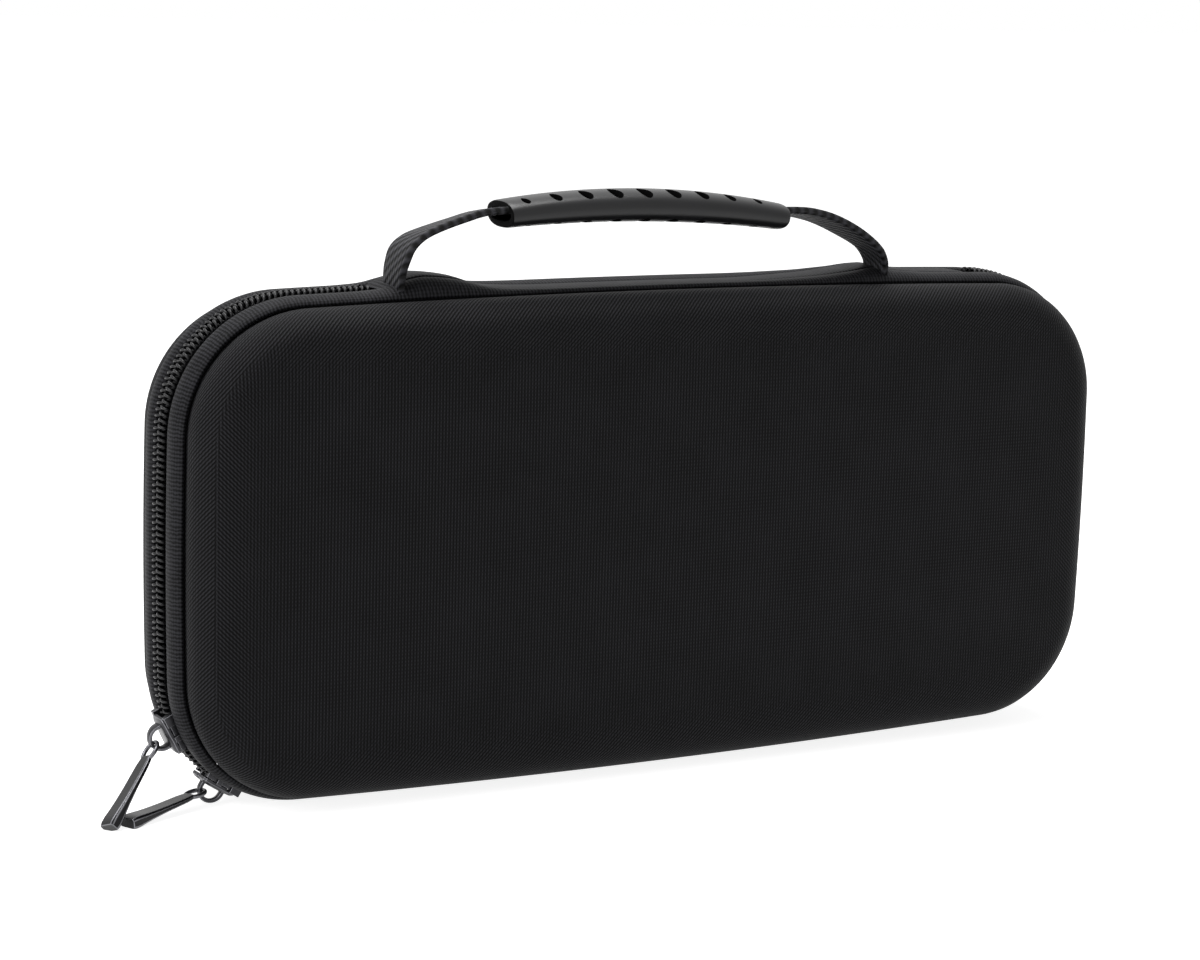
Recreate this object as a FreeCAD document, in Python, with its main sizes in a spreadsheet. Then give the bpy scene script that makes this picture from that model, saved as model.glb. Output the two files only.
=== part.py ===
import FreeCAD, Part
import math
import os
import Sketcher
from FreeCAD import Placement, Rotation, Vector

# Console carrying case: two hard moulded shells joined by a cloth spine and a two-slider coil zip.
# The frame: X along the case, +X to the right of the front; Y from front (-Y) to back; Z up.
# The origin is under the middle of the case, in the zip's plane, on the surface that it stands on.

doc = FreeCAD.newDocument("console_carrying_case")
sheet = doc.addObject("Spreadsheet::Sheet", "Sizes")

DRIVING_SIZES = (
    ("case_width", 264, "rim outline, left to right"),
    ("case_height", 126, "rim outline, bottom to top"),
    ("corner_radius", 33.2, "rim outline's corners"),
    ("long_crown", 2.5, "how far the long edges bulge over the half width"),
    ("side_crown", 1.6, "how far the short edges bulge over the half height"),
    ("half_depth", 22.4, "zip plane to each outer face"),
    ("stand_flat", 0.15, "how much the rim bands are pressed flat where the case stands"),
    ("rim_start", 5, "zip plane to each shell's rim"),
    ("neck_inset", 3.2, "outline to the sewn neck of a shell"),
    ("bulge_start", 12.8, "zip plane to the step where the moulded wall starts"),
    ("bulge_inset", 2.5, "outline to the moulded wall"),
    ("face_round", 8.8, "rounding between wall and outer face"),
    ("step_round", 0.6, "rounding of the wall's step"),
    ("shell_wall", 3, "foam board with cloth on both sides"),
    ("cavity_round", 6, "rounding inside a shell"),
    ("seat_gap", 0.08, "between pieces sewn or glued on each other"),
    ("lining_thick", 0.8, "lining cloth"),
    ("band_inset", 0.3, "outline to a rim band's outer face"),
    ("band_start", 4.4, "zip plane to a rim band"),
    ("band_end", 12, "zip plane to a rim band's far edge"),
    ("band_round", 1.1, "rolled far edge of a rim band"),
    ("band_edge_round", 0.5, "rolled near edge of a rim band"),
    ("tape_inset", 2.2, "outline to the zip tape's outer face"),
    ("tape_thick", 0.5, "zip tape"),
    ("tape_start", 0.45, "zip plane to a tape's inner edge"),
    ("tape_end", 11, "zip plane to a tape's sewn edge"),
    ("tooth_pitch", 2.4, "along the coil"),
    ("tooth_proud", 0.4, "coil tooth above the outline"),
    ("tooth_depth", 0.9, "from a tooth's crest to the gap beside it"),
    ("strand_width", 2.55, "across one strand of the coil"),
    ("spine_left", 77, "middle to the spine's left end"),
    ("spine_right", 96, "middle to the spine's right end"),
    ("spine_half_width", 4, "across the spine cloth, half"),
    ("spine_proud", 0.9, "spine cloth above the outline"),
    ("spine_thick", 2.6, "rolled spine cloth"),
    ("left_foot", 72.6, "middle to the handle's left foot"),
    ("right_foot", 65.5, "middle to the handle's right foot"),
    ("foot_sink", 0.8, "strap let into the rim band"),
    ("strap_width", 11.8, "across the handle's webbing"),
    ("strap_thick", 1.8, "webbing"),
    ("strap_middle", 6.4, "zip plane to the middle of the webbing"),
    ("left_bend", 7, "radius above the left foot"),
    ("left_slope", 25, "webbing's slope above the left foot"),
    ("left_exit", 16, "webbing's slope at the sleeve's left end"),
    ("right_bend", 6, "radius above the right foot"),
    ("right_slope", 31, "webbing's slope above the right foot"),
    ("right_exit", 3, "webbing's slope at the sleeve's right end"),
    ("grip_shift", -6.5, "middle of the case to the middle of the sleeve"),
    ("grip_rise", 18, "rim to the middle of the webbing under the sleeve"),
    ("grip_lean", 1.4, "the sleeve's right end hangs lower"),
    ("grip_length", 77, "sleeve, end to end"),
    ("grip_width", 15.6, "sleeve at its middle, front to back"),
    ("grip_height", 7.4, "sleeve at its middle, top to bottom"),
    ("grip_end_width", 14.4, "sleeve at its ends, front to back"),
    ("grip_end_height", 6, "sleeve at its ends, top to bottom"),
    ("grip_arch", 2.4, "how far the sleeve's ends drop"),
    ("vent_count", 9, "holes along the sleeve"),
    ("vent_pitch", 8.2, "along the sleeve"),
    ("vent_length", 6.4, "longest hole, across the sleeve"),
    ("vent_width", 2.6, "hole, along the sleeve"),
    ("slider_length", 9.6, "along the zip"),
    ("slider_width", 8.2, "across the zip"),
    ("plate_thick", 1.3, "slider's outer and inner plates"),
    ("slider_gap", 0.3, "slider to coil and tape"),
    ("post_width", 0.7, "slider's post between the strands"),
    ("bail_reach", 2.9, "slider's arched bail, radius"),
    ("bail_leg", 0.7, "outer plate to the middle of the bail's arch"),
    ("bail_thick", 1.2, "bail wire"),
    ("upper_slider_angle", 26, "round the lower left corner, from level"),
    ("lower_slider_angle", 57, "round the lower left corner, from level"),
    ("pull_length", 22.8, "eye's middle to the tip"),
    ("upper_pull_lean", 26.5, "the pull leans towards the front on its bail"),
    ("lower_pull_lean", 23.5, "the pull leans towards the front on its bail"),
    ("pull_width", 4.8, "pull bar, across"),
    ("pull_eye", 2.8, "eye's outer radius"),
    ("pull_eye_hole", 1.6, "eye's hole radius"),
    ("pull_thick", 1.2, "pull at its eye"),
    ("pull_swell", 2.8, "pull at its thickest"),
    ("pull_nose", 3, "length of the bevelled nose"),
    ("pull_nose_thick", 1, "nose's end"),
    ("tray_wall_gap", 0.2, "console tray to the lining"),
    ("tray_rim", 5.4, "zip plane to the tray's top face"),
    ("bay_width", 241, "recess for the console"),
    ("bay_height", 103, "recess for the console"),
    ("bay_round", 13, "recess corners"),
    ("bay_depth", 11, "recess"),
    ("stick_radius", 11.5, "relief under each control stick"),
    ("stick_depth", 1.2, "relief below the recess floor"),
    ("stick_spread", 98, "middle to each relief"),
    ("panel_width", 234, "padded card panel"),
    ("panel_height", 96, "padded card panel"),
    ("panel_thick", 2.4, "padded card panel"),
    ("panel_start", 5.8, "zip plane to the card panel"),
    ("panel_round", 14, "card panel's corners"),
    ("row_count", 3, "card pocket rows"),
    ("row_height", 24, "card pocket row"),
    ("row_pitch", 29, "from row to row"),
    ("row_width", 216, "card pocket row"),
    ("row_thick", 1.1, "card pocket row"),
    ("card_count", 6, "pockets in a row"),
    ("card_notch", 6, "thumb notch radius"),
    ("hinge_tape_width", 120, "cloth that carries the card panel"),
    ("hinge_tape_thick", 0.8, "cloth that carries the card panel"),
    ("mesh_width", 206, "mesh pocket"),
    ("mesh_height", 74, "mesh pocket"),
    ("mesh_round", 10, "mesh pocket's corners"),
    ("mesh_thick", 0.9, "mesh pocket"),
    ("edging_width", 4, "tape round the mesh pocket"),
    ("edging_thick", 1.5, "tape round the mesh pocket"),
)
for row, (alias, number, note) in enumerate(DRIVING_SIZES, start=1):
    sheet.set("A%d" % row, note)
    sheet.set("B%d" % row, str(number))
    sheet.setAlias("B%d" % row, alias)
doc.recompute()


def value(expression):
    """The number that an expression on the sheet gives."""
    return float(sheet.evalExpression(expression))


# The rim outline is eight tangent arcs: four shallow crowned edges and four corners.
HALF_WIDTH = "Sizes.case_width / 2"
HALF_HEIGHT = "Sizes.case_height / 2"
LONG_RADIUS = "((Sizes.case_width / 2) ^ 2 / (2 * Sizes.long_crown))"
SIDE_RADIUS = "((Sizes.case_height / 2) ^ 2 / (2 * Sizes.side_crown))"
MIDDLE_Z = "(Sizes.case_height / 2 - Sizes.band_inset - Sizes.stand_flat)"
CAVITY_INSET = "(Sizes.neck_inset + Sizes.shell_wall)"
FLOOR_DEPTH = "(Sizes.half_depth - Sizes.shell_wall)"
LINING_INSET = "(%s + Sizes.seat_gap)" % CAVITY_INSET
LINING_DEPTH = "(%s - Sizes.seat_gap)" % FLOOR_DEPTH
ROOM_INSET = "(%s + Sizes.lining_thick)" % LINING_INSET
ROOM_DEPTH = "(%s - Sizes.lining_thick)" % LINING_DEPTH

middle_z = value(MIDDLE_Z)
half_width = value(HALF_WIDTH)
half_height = value(HALF_HEIGHT)
long_radius = value(LONG_RADIUS)
side_radius = value(SIDE_RADIUS)
corner_radius = value("Sizes.corner_radius")


def corner_centre():
    """Centre of the upper right corner arc about the outline's middle: it lies inside both edges."""
    below = Vector(0, half_height - long_radius, 0)
    beside = Vector(half_width - side_radius, 0, 0)
    reach_below = long_radius - corner_radius
    reach_beside = side_radius - corner_radius
    apart = (beside - below).Length
    along = (beside - below) * (1 / apart)
    foot = (reach_below ** 2 - reach_beside ** 2 + apart ** 2) / (2 * apart)
    height = math.sqrt(reach_below ** 2 - foot ** 2)
    sideways = Vector(-along.y, along.x, 0)
    choices = [below + along * foot + sideways * sign * height for sign in (1, -1)]
    return max(choices, key=lambda point: point.x + point.y)


corner = corner_centre()
long_end = math.atan2(corner.y - (half_height - long_radius), corner.x)
side_end = math.atan2(corner.y, corner.x - (half_width - side_radius))


def outline_arcs(inset):
    """Centre, radius and the two end angles of each arc, anticlockwise from the right edge."""
    turn = math.pi
    right = (half_width - side_radius, 0)
    left = (side_radius - half_width, 0)
    top = (0, half_height - long_radius)
    bottom = (0, long_radius - half_height)
    side = side_radius - inset
    long = long_radius - inset
    small = corner_radius - inset
    return (
        (right, side, -side_end, side_end),
        ((corner.x, corner.y), small, side_end, long_end),
        (top, long, long_end, turn - long_end),
        ((-corner.x, corner.y), small, turn - long_end, turn - side_end),
        (left, side, turn - side_end, turn + side_end),
        ((-corner.x, -corner.y), small, turn + side_end, turn + long_end),
        (bottom, long, turn + long_end, 2 * turn - long_end),
        ((corner.x, -corner.y), small, 2 * turn - long_end, 2 * turn - side_end),
    )


def new_body(label):
    body = doc.addObject("PartDesign::Body", label)
    body.Label = label
    return body


def face_sketch(body, name, depth, front):
    """An empty sketch parallel to the zip plane, depth in front of it or behind it."""
    sketch = body.newObject("Sketcher::SketchObject", name)
    plane = [item for item in body.Origin.OriginFeatures if item.Role == "XZ_Plane"][0]
    sketch.AttachmentSupport = [(plane, "")]
    sketch.MapMode = "FlatFace"
    sketch.setExpression("AttachmentOffset.Base.z", depth if front else "-(%s)" % depth)
    return sketch


def dimension(sketch, name, kind, first, expression):
    """Adds one named dimension and ties it to the sheet."""
    index = sketch.addConstraint(Sketcher.Constraint(kind, *first, value(expression)))
    sketch.renameConstraint(index, name)
    sketch.setExpression("Constraints." + name, expression)


def outline_sketch(body, name, inset, depth, front):
    """The rim outline moved inwards by inset, as a fully constrained sketch."""
    sketch = face_sketch(body, name, depth, front)
    for centre, radius, start, end in outline_arcs(value(inset)):
        circle = Part.Circle(Vector(centre[0], centre[1] + middle_z, 0), Vector(0, 0, 1), radius)
        sketch.addGeometry(Part.ArcOfCircle(circle, start, end), False)
    for arc in range(8):
        sketch.addConstraint(Sketcher.Constraint("Tangent", arc, 2, (arc + 1) % 8, 1))
    for arc in (0, 4):
        dimension(sketch, "side_%d" % arc, "Radius", (arc,), "%s - %s" % (SIDE_RADIUS, inset))
    for arc in (2, 6):
        dimension(sketch, "long_%d" % arc, "Radius", (arc,), "%s - %s" % (LONG_RADIUS, inset))
    for arc in (1, 3, 5, 7):
        dimension(sketch, "corner_%d" % arc, "Radius", (arc,), "Sizes.corner_radius - %s" % inset)
    for arc in (2, 6):
        sketch.addConstraint(Sketcher.Constraint("PointOnObject", arc, 3, -2))
    for arc in (0, 4):
        dimension(sketch, "level_%d" % arc, "DistanceY", (-1, 1, arc, 3), MIDDLE_Z)
    dimension(sketch, "top", "DistanceY", (2, 3, -1, 1), "%s - %s - %s" % (LONG_RADIUS, MIDDLE_Z, HALF_HEIGHT))
    dimension(sketch, "base", "DistanceY", (-1, 1, 6, 3), "%s + %s - %s" % (LONG_RADIUS, MIDDLE_Z, HALF_HEIGHT))
    dimension(sketch, "left", "DistanceX", (-1, 1, 4, 3), "%s - %s" % (SIDE_RADIUS, HALF_WIDTH))
    dimension(sketch, "right", "DistanceX", (0, 3, -1, 1), "%s - %s" % (SIDE_RADIUS, HALF_WIDTH))
    return sketch


def rounded_sketch(body, name, width, height, radius, depth, front):
    """A rounded rectangle centred on the case's middle."""
    sketch = face_sketch(body, name, depth, front)
    across = value(width) / 2 - value(radius)
    up = value(height) / 2 - value(radius)
    round_radius = value(radius)
    turn = math.pi / 2
    corners = ((across, up), (-across, up), (-across, -up), (across, -up))
    for quarter, (x, z) in enumerate(corners):
        circle = Part.Circle(Vector(x, z + middle_z, 0), Vector(0, 0, 1), round_radius)
        sketch.addGeometry(Part.ArcOfCircle(circle, quarter * turn, (quarter + 1) * turn), False)
    for quarter in range(4):
        here = sketch.Geometry[quarter].EndPoint
        there = sketch.Geometry[(quarter + 1) % 4].StartPoint
        sketch.addGeometry(Part.LineSegment(here, there), False)
    for quarter in range(4):
        sketch.addConstraint(Sketcher.Constraint("Tangent", quarter, 2, 4 + quarter, 1))
        sketch.addConstraint(Sketcher.Constraint("Tangent", 4 + quarter, 2, (quarter + 1) % 4, 1))
    for line in (4, 6):
        sketch.addConstraint(Sketcher.Constraint("Horizontal", line))
    for line in (5, 7):
        sketch.addConstraint(Sketcher.Constraint("Vertical", line))
    sketch.addConstraint(Sketcher.Constraint("Equal", 0, 2))
    dimension(sketch, "round", "Radius", (0,), radius)
    dimension(sketch, "across", "DistanceX", (2, 3, 0, 3), "%s - 2 * %s" % (width, radius))
    dimension(sketch, "upright", "DistanceY", (2, 3, 0, 3), "%s - 2 * %s" % (height, radius))
    dimension(sketch, "right", "DistanceX", (-1, 1, 0, 3), "%s / 2 - %s" % (width, radius))
    dimension(sketch, "level", "DistanceY", (-1, 1, 0, 3), "%s + %s / 2 - %s" % (MIDDLE_Z, height, radius))
    return sketch


def polygon_sketch(body, name, points, plane_role, offset):
    """A closed polygon whose corners are pairs of expressions."""
    sketch = body.newObject("Sketcher::SketchObject", name)
    plane = [item for item in body.Origin.OriginFeatures if item.Role == plane_role][0]
    sketch.AttachmentSupport = [(plane, "")]
    sketch.MapMode = "FlatFace"
    sketch.setExpression("AttachmentOffset.Base.z", offset)
    corners = [Vector(value(x), value(y), 0) for x, y in points]
    for index, here in enumerate(corners):
        sketch.addGeometry(Part.LineSegment(here, corners[(index + 1) % len(corners)]), False)
    for index in range(len(corners)):
        following = (index + 1) % len(corners)
        sketch.addConstraint(Sketcher.Constraint("Coincident", index, 2, following, 1))
    for index, (x, y) in enumerate(points):
        dimension(sketch, "x_%d" % index, "DistanceX", (-1, 1, index, 1), x)
        dimension(sketch, "y_%d" % index, "DistanceY", (-1, 1, index, 1), y)
    return sketch


def pad(body, sketch, length, front):
    """Thickens a sketch away from the zip plane."""
    feature = body.newObject("PartDesign::Pad", sketch.Name + "_pad")
    feature.Profile = sketch
    feature.setExpression("Length", length)
    feature.Reversed = not front
    doc.recompute()
    return feature


def pocket(body, sketch, length, front):
    """Cuts a sketch away from the zip plane."""
    feature = body.newObject("PartDesign::Pocket", sketch.Name + "_pocket")
    feature.Profile = sketch
    feature.setExpression("Length", length)
    feature.Reversed = front
    before = body.Shape.Volume
    doc.recompute()
    if not body.Shape.Volume < before:
        raise RuntimeError(sketch.Name + " cuts nothing")
    return feature


def outline_edges(shape, inset, depth, front):
    """Names of the edges that follow the outline at one inset and one distance from the zip plane."""
    radii = [radius - value(inset) for radius in (long_radius, side_radius, corner_radius)]
    level = -value(depth) if front else value(depth)
    names = []
    for index, edge in enumerate(shape.Edges, start=1):
        if not isinstance(edge.Curve, Part.Circle):
            continue
        same_level = abs(edge.Curve.Center.y - level) < 0.001
        if same_level and min(abs(edge.Curve.Radius - radius) for radius in radii) < 0.001:
            names.append("Edge%d" % index)
    return names


def fillet(body, inset, depth, front, radius, name):
    """Rounds the edges that follow the outline at one inset and one depth."""
    base = body.Tip
    feature = body.newObject("PartDesign::Fillet", name)
    feature.Base = (base, outline_edges(base.Shape, inset, depth, front))
    feature.setExpression("Radius", radius)
    doc.recompute()
    return feature


def side_name(front):
    return "front" if front else "back"


def make_shell(front):
    """One moulded shell: a sewn neck, the bulging wall and face, hollowed from the rim."""
    body = new_body(side_name(front) + "_shell")
    name = body.Label
    neck = outline_sketch(body, name + "_neck", "Sizes.neck_inset", "Sizes.rim_start", front)
    pad(body, neck, "Sizes.bulge_start - Sizes.rim_start", front)
    bulge = outline_sketch(body, name + "_bulge", "Sizes.bulge_inset", "Sizes.bulge_start", front)
    pad(body, bulge, "Sizes.half_depth - Sizes.bulge_start", front)
    fillet(body, "Sizes.bulge_inset", "Sizes.half_depth", front, "Sizes.face_round", name + "_face_round")
    fillet(body, "Sizes.bulge_inset", "Sizes.bulge_start", front, "Sizes.step_round", name + "_step_round")
    cavity = outline_sketch(body, name + "_cavity", CAVITY_INSET, "Sizes.rim_start", front)
    pocket(body, cavity, "%s - Sizes.rim_start" % FLOOR_DEPTH, front)
    fillet(body, CAVITY_INSET, FLOOR_DEPTH, front, "Sizes.cavity_round", name + "_cavity_round")


def make_lining(front):
    """The lining cloth, a thin dish that lies on the shell's inner wall and floor."""
    body = new_body(side_name(front) + "_lining")
    name = body.Label
    dish = outline_sketch(body, name + "_dish", LINING_INSET, "Sizes.rim_start", front)
    pad(body, dish, "%s - Sizes.rim_start" % LINING_DEPTH, front)
    fillet(body, LINING_INSET, LINING_DEPTH, front, "Sizes.cavity_round - Sizes.seat_gap", name + "_outer_round")
    mouth = -value("Sizes.rim_start") if front else value("Sizes.rim_start")
    base = body.Tip
    faces = ["Face%d" % index for index, face in enumerate(base.Shape.Faces, start=1)
             if face.BoundBox.YLength < 0.01 and abs(face.CenterOfMass.y - mouth) < 0.01]
    cloth = body.newObject("PartDesign::Thickness", name + "_cloth")
    cloth.Base = (base, faces)
    cloth.setExpression("Value", "Sizes.lining_thick")
    cloth.Reversed = True
    doc.recompute()


def cut_below_floor(body):
    """Presses the outline flat where it stands: everything under the origin's level goes."""
    points = (("-Sizes.case_width / 2", "-Sizes.corner_radius"), ("Sizes.case_width / 2", "-Sizes.corner_radius"),
              ("Sizes.case_width / 2", "0"), ("-Sizes.case_width / 2", "0"))
    sketch = polygon_sketch(body, body.Label + "_floor", points, "XZ_Plane", "0")
    feature = body.newObject("PartDesign::Pocket", body.Label + "_floor_cut")
    feature.Profile = sketch
    feature.Type = 1
    feature.Midplane = True
    doc.recompute()


def foot_level(side):
    """Expression for the level that a foot of the handle is let down to, in the rim band's crowned top."""
    return "(%s + %s - Sizes.band_inset - Sizes.foot_sink - Sizes.%s_foot ^ 2 / (2 * %s))" % (
        MIDDLE_Z, HALF_HEIGHT, side, LONG_RADIUS)


def make_band(front):
    """The woven band that is rolled and sewn round a rim, over the zip tape's edge."""
    body = new_body(side_name(front) + "_rim_band")
    name = body.Label
    inner = "(Sizes.tape_inset - Sizes.seat_gap)"
    outer_sketch = outline_sketch(body, name + "_outer", "Sizes.band_inset", "Sizes.band_start", front)
    pad(body, outer_sketch, "Sizes.band_end - Sizes.band_start", front)
    inner_sketch = outline_sketch(body, name + "_inner", inner, "Sizes.band_start", front)
    pocket(body, inner_sketch, "Sizes.band_end - Sizes.band_start", front)
    fillet(body, "Sizes.band_inset", "Sizes.band_end", front, "Sizes.band_round", name + "_far_round")
    fillet(body, "Sizes.band_inset", "Sizes.band_start", front, "Sizes.band_edge_round", name + "_near_round")
    cut_below_floor(body)
    if not front:
        return
    for side, sign in (("left", "-"), ("right", "")):
        middle = "(%s1 * Sizes.%s_foot)" % (sign, side)
        half = "(Sizes.strap_thick / 2 + Sizes.seat_gap)"
        level = foot_level(side)
        above = "%s + Sizes.corner_radius" % level
        points = (("%s - %s" % (middle, half), level), ("%s + %s" % (middle, half), level),
                  ("%s + %s" % (middle, half), above), ("%s - %s" % (middle, half), above))
        sketch = polygon_sketch(body, "%s_%s_foot" % (name, side), points, "XZ_Plane", "0")
        feature = body.newObject("PartDesign::Pocket", "%s_%s_foot_slot" % (name, side))
        feature.Profile = sketch
        feature.Type = 1
        feature.Midplane = True
        doc.recompute()


def make_tape(front):
    """Zip tape: a flat woven ribbon round the outline, under the rim band and the coil."""
    body = new_body("zip_tape_" + side_name(front))
    name = body.Label
    inner = "(Sizes.tape_inset + Sizes.tape_thick)"
    outer_sketch = outline_sketch(body, name + "_outer", "Sizes.tape_inset", "Sizes.tape_start", front)
    pad(body, outer_sketch, "Sizes.tape_end - Sizes.tape_start", front)
    inner_sketch = outline_sketch(body, name + "_inner", inner, "Sizes.tape_start", front)
    pocket(body, inner_sketch, "Sizes.tape_end - Sizes.tape_start", front)


def point_on(arc, inset, angle):
    """The point at an angle on one of the outline's arcs, moved inwards by inset."""
    centre, radius = outline_arcs(inset)[arc][:2]
    return Vector(centre[0] + radius * math.cos(angle), 0, centre[1] + middle_z + radius * math.sin(angle))


def track_spans():
    """Arc number, start and end angle of the zip's track, from the spine's left end round to its right end."""
    spans = [[arc, data[2], data[3]] for arc, data in enumerate(outline_arcs(0))]
    left_end = math.pi / 2 + math.asin((value("Sizes.spine_left") + 2) / long_radius)
    right_end = math.pi / 2 - math.asin((value("Sizes.spine_right") + 2) / long_radius)
    first = [2, left_end, spans[2][2]]
    if value("Sizes.spine_right") + 2 < corner.x:
        last = [2, spans[2][1], right_end]
        return [first] + spans[3:] + spans[:2] + [last]
    return [first] + spans[3:] + spans[:1] + [[1, spans[1][1], spans[1][1] + 0.8 * (spans[1][2] - spans[1][1])]]


def make_strand(front):
    """One strand of the zip's coil: a row of teeth that stands on the tape, half a pitch out of step
    with the other strand's."""
    crest = -value("Sizes.tooth_proud")
    gap = crest + value("Sizes.tooth_depth")
    seat = value("Sizes.tape_inset - Sizes.seat_gap")
    spans = track_spans()
    lengths = [(end - start) * outline_arcs(0)[arc][1] for arc, start, end in spans]
    tooth_count = int(sum(lengths) / value("Sizes.tooth_pitch"))
    step = sum(lengths) / (2 * tooth_count)
    points = []
    travelled = 0.0
    index = 0
    next_stop = 0.0 if front else step
    for (arc, start, end), length in zip(spans, lengths):
        while next_stop <= travelled + length + 1e-9:
            share = (next_stop - travelled) / length
            inset = crest if index % 2 else gap
            point = point_on(arc, inset, start + share * (end - start))
            points.append(Vector(point.x, 0, max(point.z, 0)))
            next_stop += step
            index += 1
        travelled += length
    edges = [Part.LineSegment(here, there).toShape() for here, there in zip(points, points[1:])]
    inner = []
    for arc, start, end in spans:
        ends = [point_on(arc, seat, angle) for angle in (start, (start + end) / 2, end)]
        inner.append(Part.Arc(*ends).toShape())
    first_inner = point_on(spans[0][0], seat, spans[0][1])
    last_inner = point_on(spans[-1][0], seat, spans[-1][2])
    edges.append(Part.LineSegment(points[-1], last_inner).toShape())
    edges.extend(reversed(inner))
    edges.append(Part.LineSegment(first_inner, points[0]).toShape())
    profile = Part.Face(Part.Wire(Part.__sortEdges__(edges)))
    width = value("Sizes.strand_width")
    start_y = value("Sizes.tape_start")
    direction = -1 if front else 1
    solid = profile.extrude(Vector(0, direction * width, 0))
    solid.translate(Vector(0, direction * start_y, 0))
    feature = doc.addObject("Part::Feature", "zip_coil_" + side_name(front))
    feature.Label = feature.Name
    feature.Shape = solid


def make_spine():
    """Rolled cloth that joins the two shells along the top edge, between the zip's two ends."""
    outer = -value("Sizes.spine_proud")
    inner = outer + value("Sizes.spine_thick")
    left = math.pi / 2 + math.asin(value("Sizes.spine_left") / long_radius)
    right = math.pi / 2 - math.asin(value("Sizes.spine_right") / long_radius)
    middle = (left + right) / 2
    above = [point_on(2, outer, angle) for angle in (left, middle, right)]
    below = [point_on(2, inner, angle) for angle in (right, middle, left)]
    edges = [Part.Arc(*above).toShape(), Part.LineSegment(above[2], below[0]).toShape(),
             Part.Arc(*below).toShape(), Part.LineSegment(below[2], above[0]).toShape()]
    half = value("Sizes.spine_half_width")
    solid = Part.Face(Part.Wire(edges)).extrude(Vector(0, 2 * half, 0))
    solid.translate(Vector(0, -half, 0))
    rounded = [edge for edge in solid.Edges if edge.BoundBox.XLength > half * 4]
    solid = solid.makeFillet(value("Sizes.spine_proud") * 0.9, rounded)
    reach = value("Sizes.strap_width / 2 + Sizes.seat_gap")
    slot_half = value("Sizes.strap_thick / 2 + Sizes.seat_gap")
    for side, sign in (("left", -1), ("right", 1)):
        low = value(foot_level(side))
        slot_left = sign * value("Sizes.%s_foot" % side) - slot_half
        slot = Part.makeBox(2 * slot_half, 2 * reach, value("Sizes.corner_radius"),
                            Vector(slot_left, -value("Sizes.strap_middle") - reach, low))
        solid = solid.cut(slot)
    feature = doc.addObject("Part::Feature", "spine_cloth")
    feature.Label = feature.Name
    feature.Shape = solid.Solids[0]


# The handle's webbing runs up from each foot, bends inwards, slopes up to the sleeve, and follows the
# sleeve's shallow arch. The sleeve hangs a little lower at its right end.
rim_top = value("%s + %s - Sizes.band_inset" % (MIDDLE_Z, HALF_HEIGHT))
strap_middle = -value("Sizes.strap_middle")
grip_half = value("Sizes.grip_length / 2")
arch_drop = value("Sizes.grip_arch")
arch_radius = (grip_half ** 2 + arch_drop ** 2) / (2 * arch_drop)
grip_middle = Vector(value("Sizes.grip_shift"), 0, rim_top + value("Sizes.grip_rise"))
grip_lean = value("Sizes.grip_lean")


def slanted(angle):
    """The direction that is square to a path, leaning from upright towards +X."""
    return Vector(math.sin(angle), 0, math.cos(angle))


def arch_point(x, offset=0):
    """A point on the sleeve's arch at x from its middle, and the direction square to the arch there."""
    lean = math.radians(grip_lean)
    angle = math.asin(x / arch_radius)
    local = slanted(angle) * (arch_radius + offset) - Vector(0, 0, arch_radius)
    turned = Rotation(Vector(0, 1, 0), grip_lean).multVec(local)
    return grip_middle + turned, slanted(angle + lean)


def handle_side(side):
    """Stations from the sleeve's end to the foot, each a point and the direction square to the webbing."""
    sign = -1 if side == "left" else 1
    start = arch_point(sign * grip_half)[0]
    bend = value("Sizes.%s_bend" % side)
    slope = math.radians(value("Sizes.%s_slope" % side))
    leaving = math.radians(value("Sizes.%s_exit" % side))
    reach = value("Sizes.%s_foot" % side) - sign * start.x
    sweep = (reach - bend * (1 - math.sin(slope))) / (math.sin(slope) - math.sin(leaving))
    stations = [(start, slanted(sign * leaving))]
    centre = start - slanted(sign * leaving) * sweep
    for angle in ((leaving + slope) / 2, slope):
        stations.append((centre + slanted(sign * angle) * sweep, slanted(sign * angle)))
    centre = centre + slanted(sign * slope) * (sweep - bend)
    for angle in ((slope + math.pi / 2) / 2, math.pi / 2):
        stations.append((centre + slanted(sign * angle) * bend, slanted(sign * angle)))
    foot = Vector(stations[-1][0].x, 0, value(foot_level(side)))
    stations.append((foot, stations[-1][1]))
    return stations


def strap_solid(thick, width):
    """Webbing of a given section along the handle's path."""
    left = handle_side("left")[::-1]
    right = handle_side("right")
    stations = left + [arch_point(0)] + right
    outlines = []
    for offset in (thick / 2, -thick / 2):
        points = [point + square * offset for point, square in stations]
        edges = [Part.LineSegment(points[0], points[1]).toShape()]
        for first in range(1, len(points) - 2, 2):
            edges.append(Part.Arc(points[first], points[first + 1], points[first + 2]).toShape())
        edges.append(Part.LineSegment(points[-2], points[-1]).toShape())
        outlines.append((points, edges))
    (upper, upper_edges), (lower, lower_edges) = outlines
    ends = [Part.LineSegment(upper[index], lower[index]).toShape() for index in (0, -1)]
    profile = Part.Face(Part.Wire(Part.__sortEdges__(upper_edges + lower_edges + ends)))
    solid = profile.extrude(Vector(0, width, 0))
    solid.translate(Vector(0, strap_middle - width / 2, 0))
    return solid


def make_strap():
    feature = doc.addObject("Part::Feature", "handle_strap")
    feature.Label = feature.Name
    feature.Shape = strap_solid(value("Sizes.strap_thick"), value("Sizes.strap_width"))


def grip_place(x):
    """Where a section of the sleeve stands: its own Z is square to the arch, its X runs along it."""
    point = arch_point(x)[0]
    turn = math.degrees(math.asin(x / arch_radius)) + grip_lean
    return Placement(Vector(point.x, strap_middle, point.z), Rotation(Vector(0, 1, 0), turn))


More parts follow.
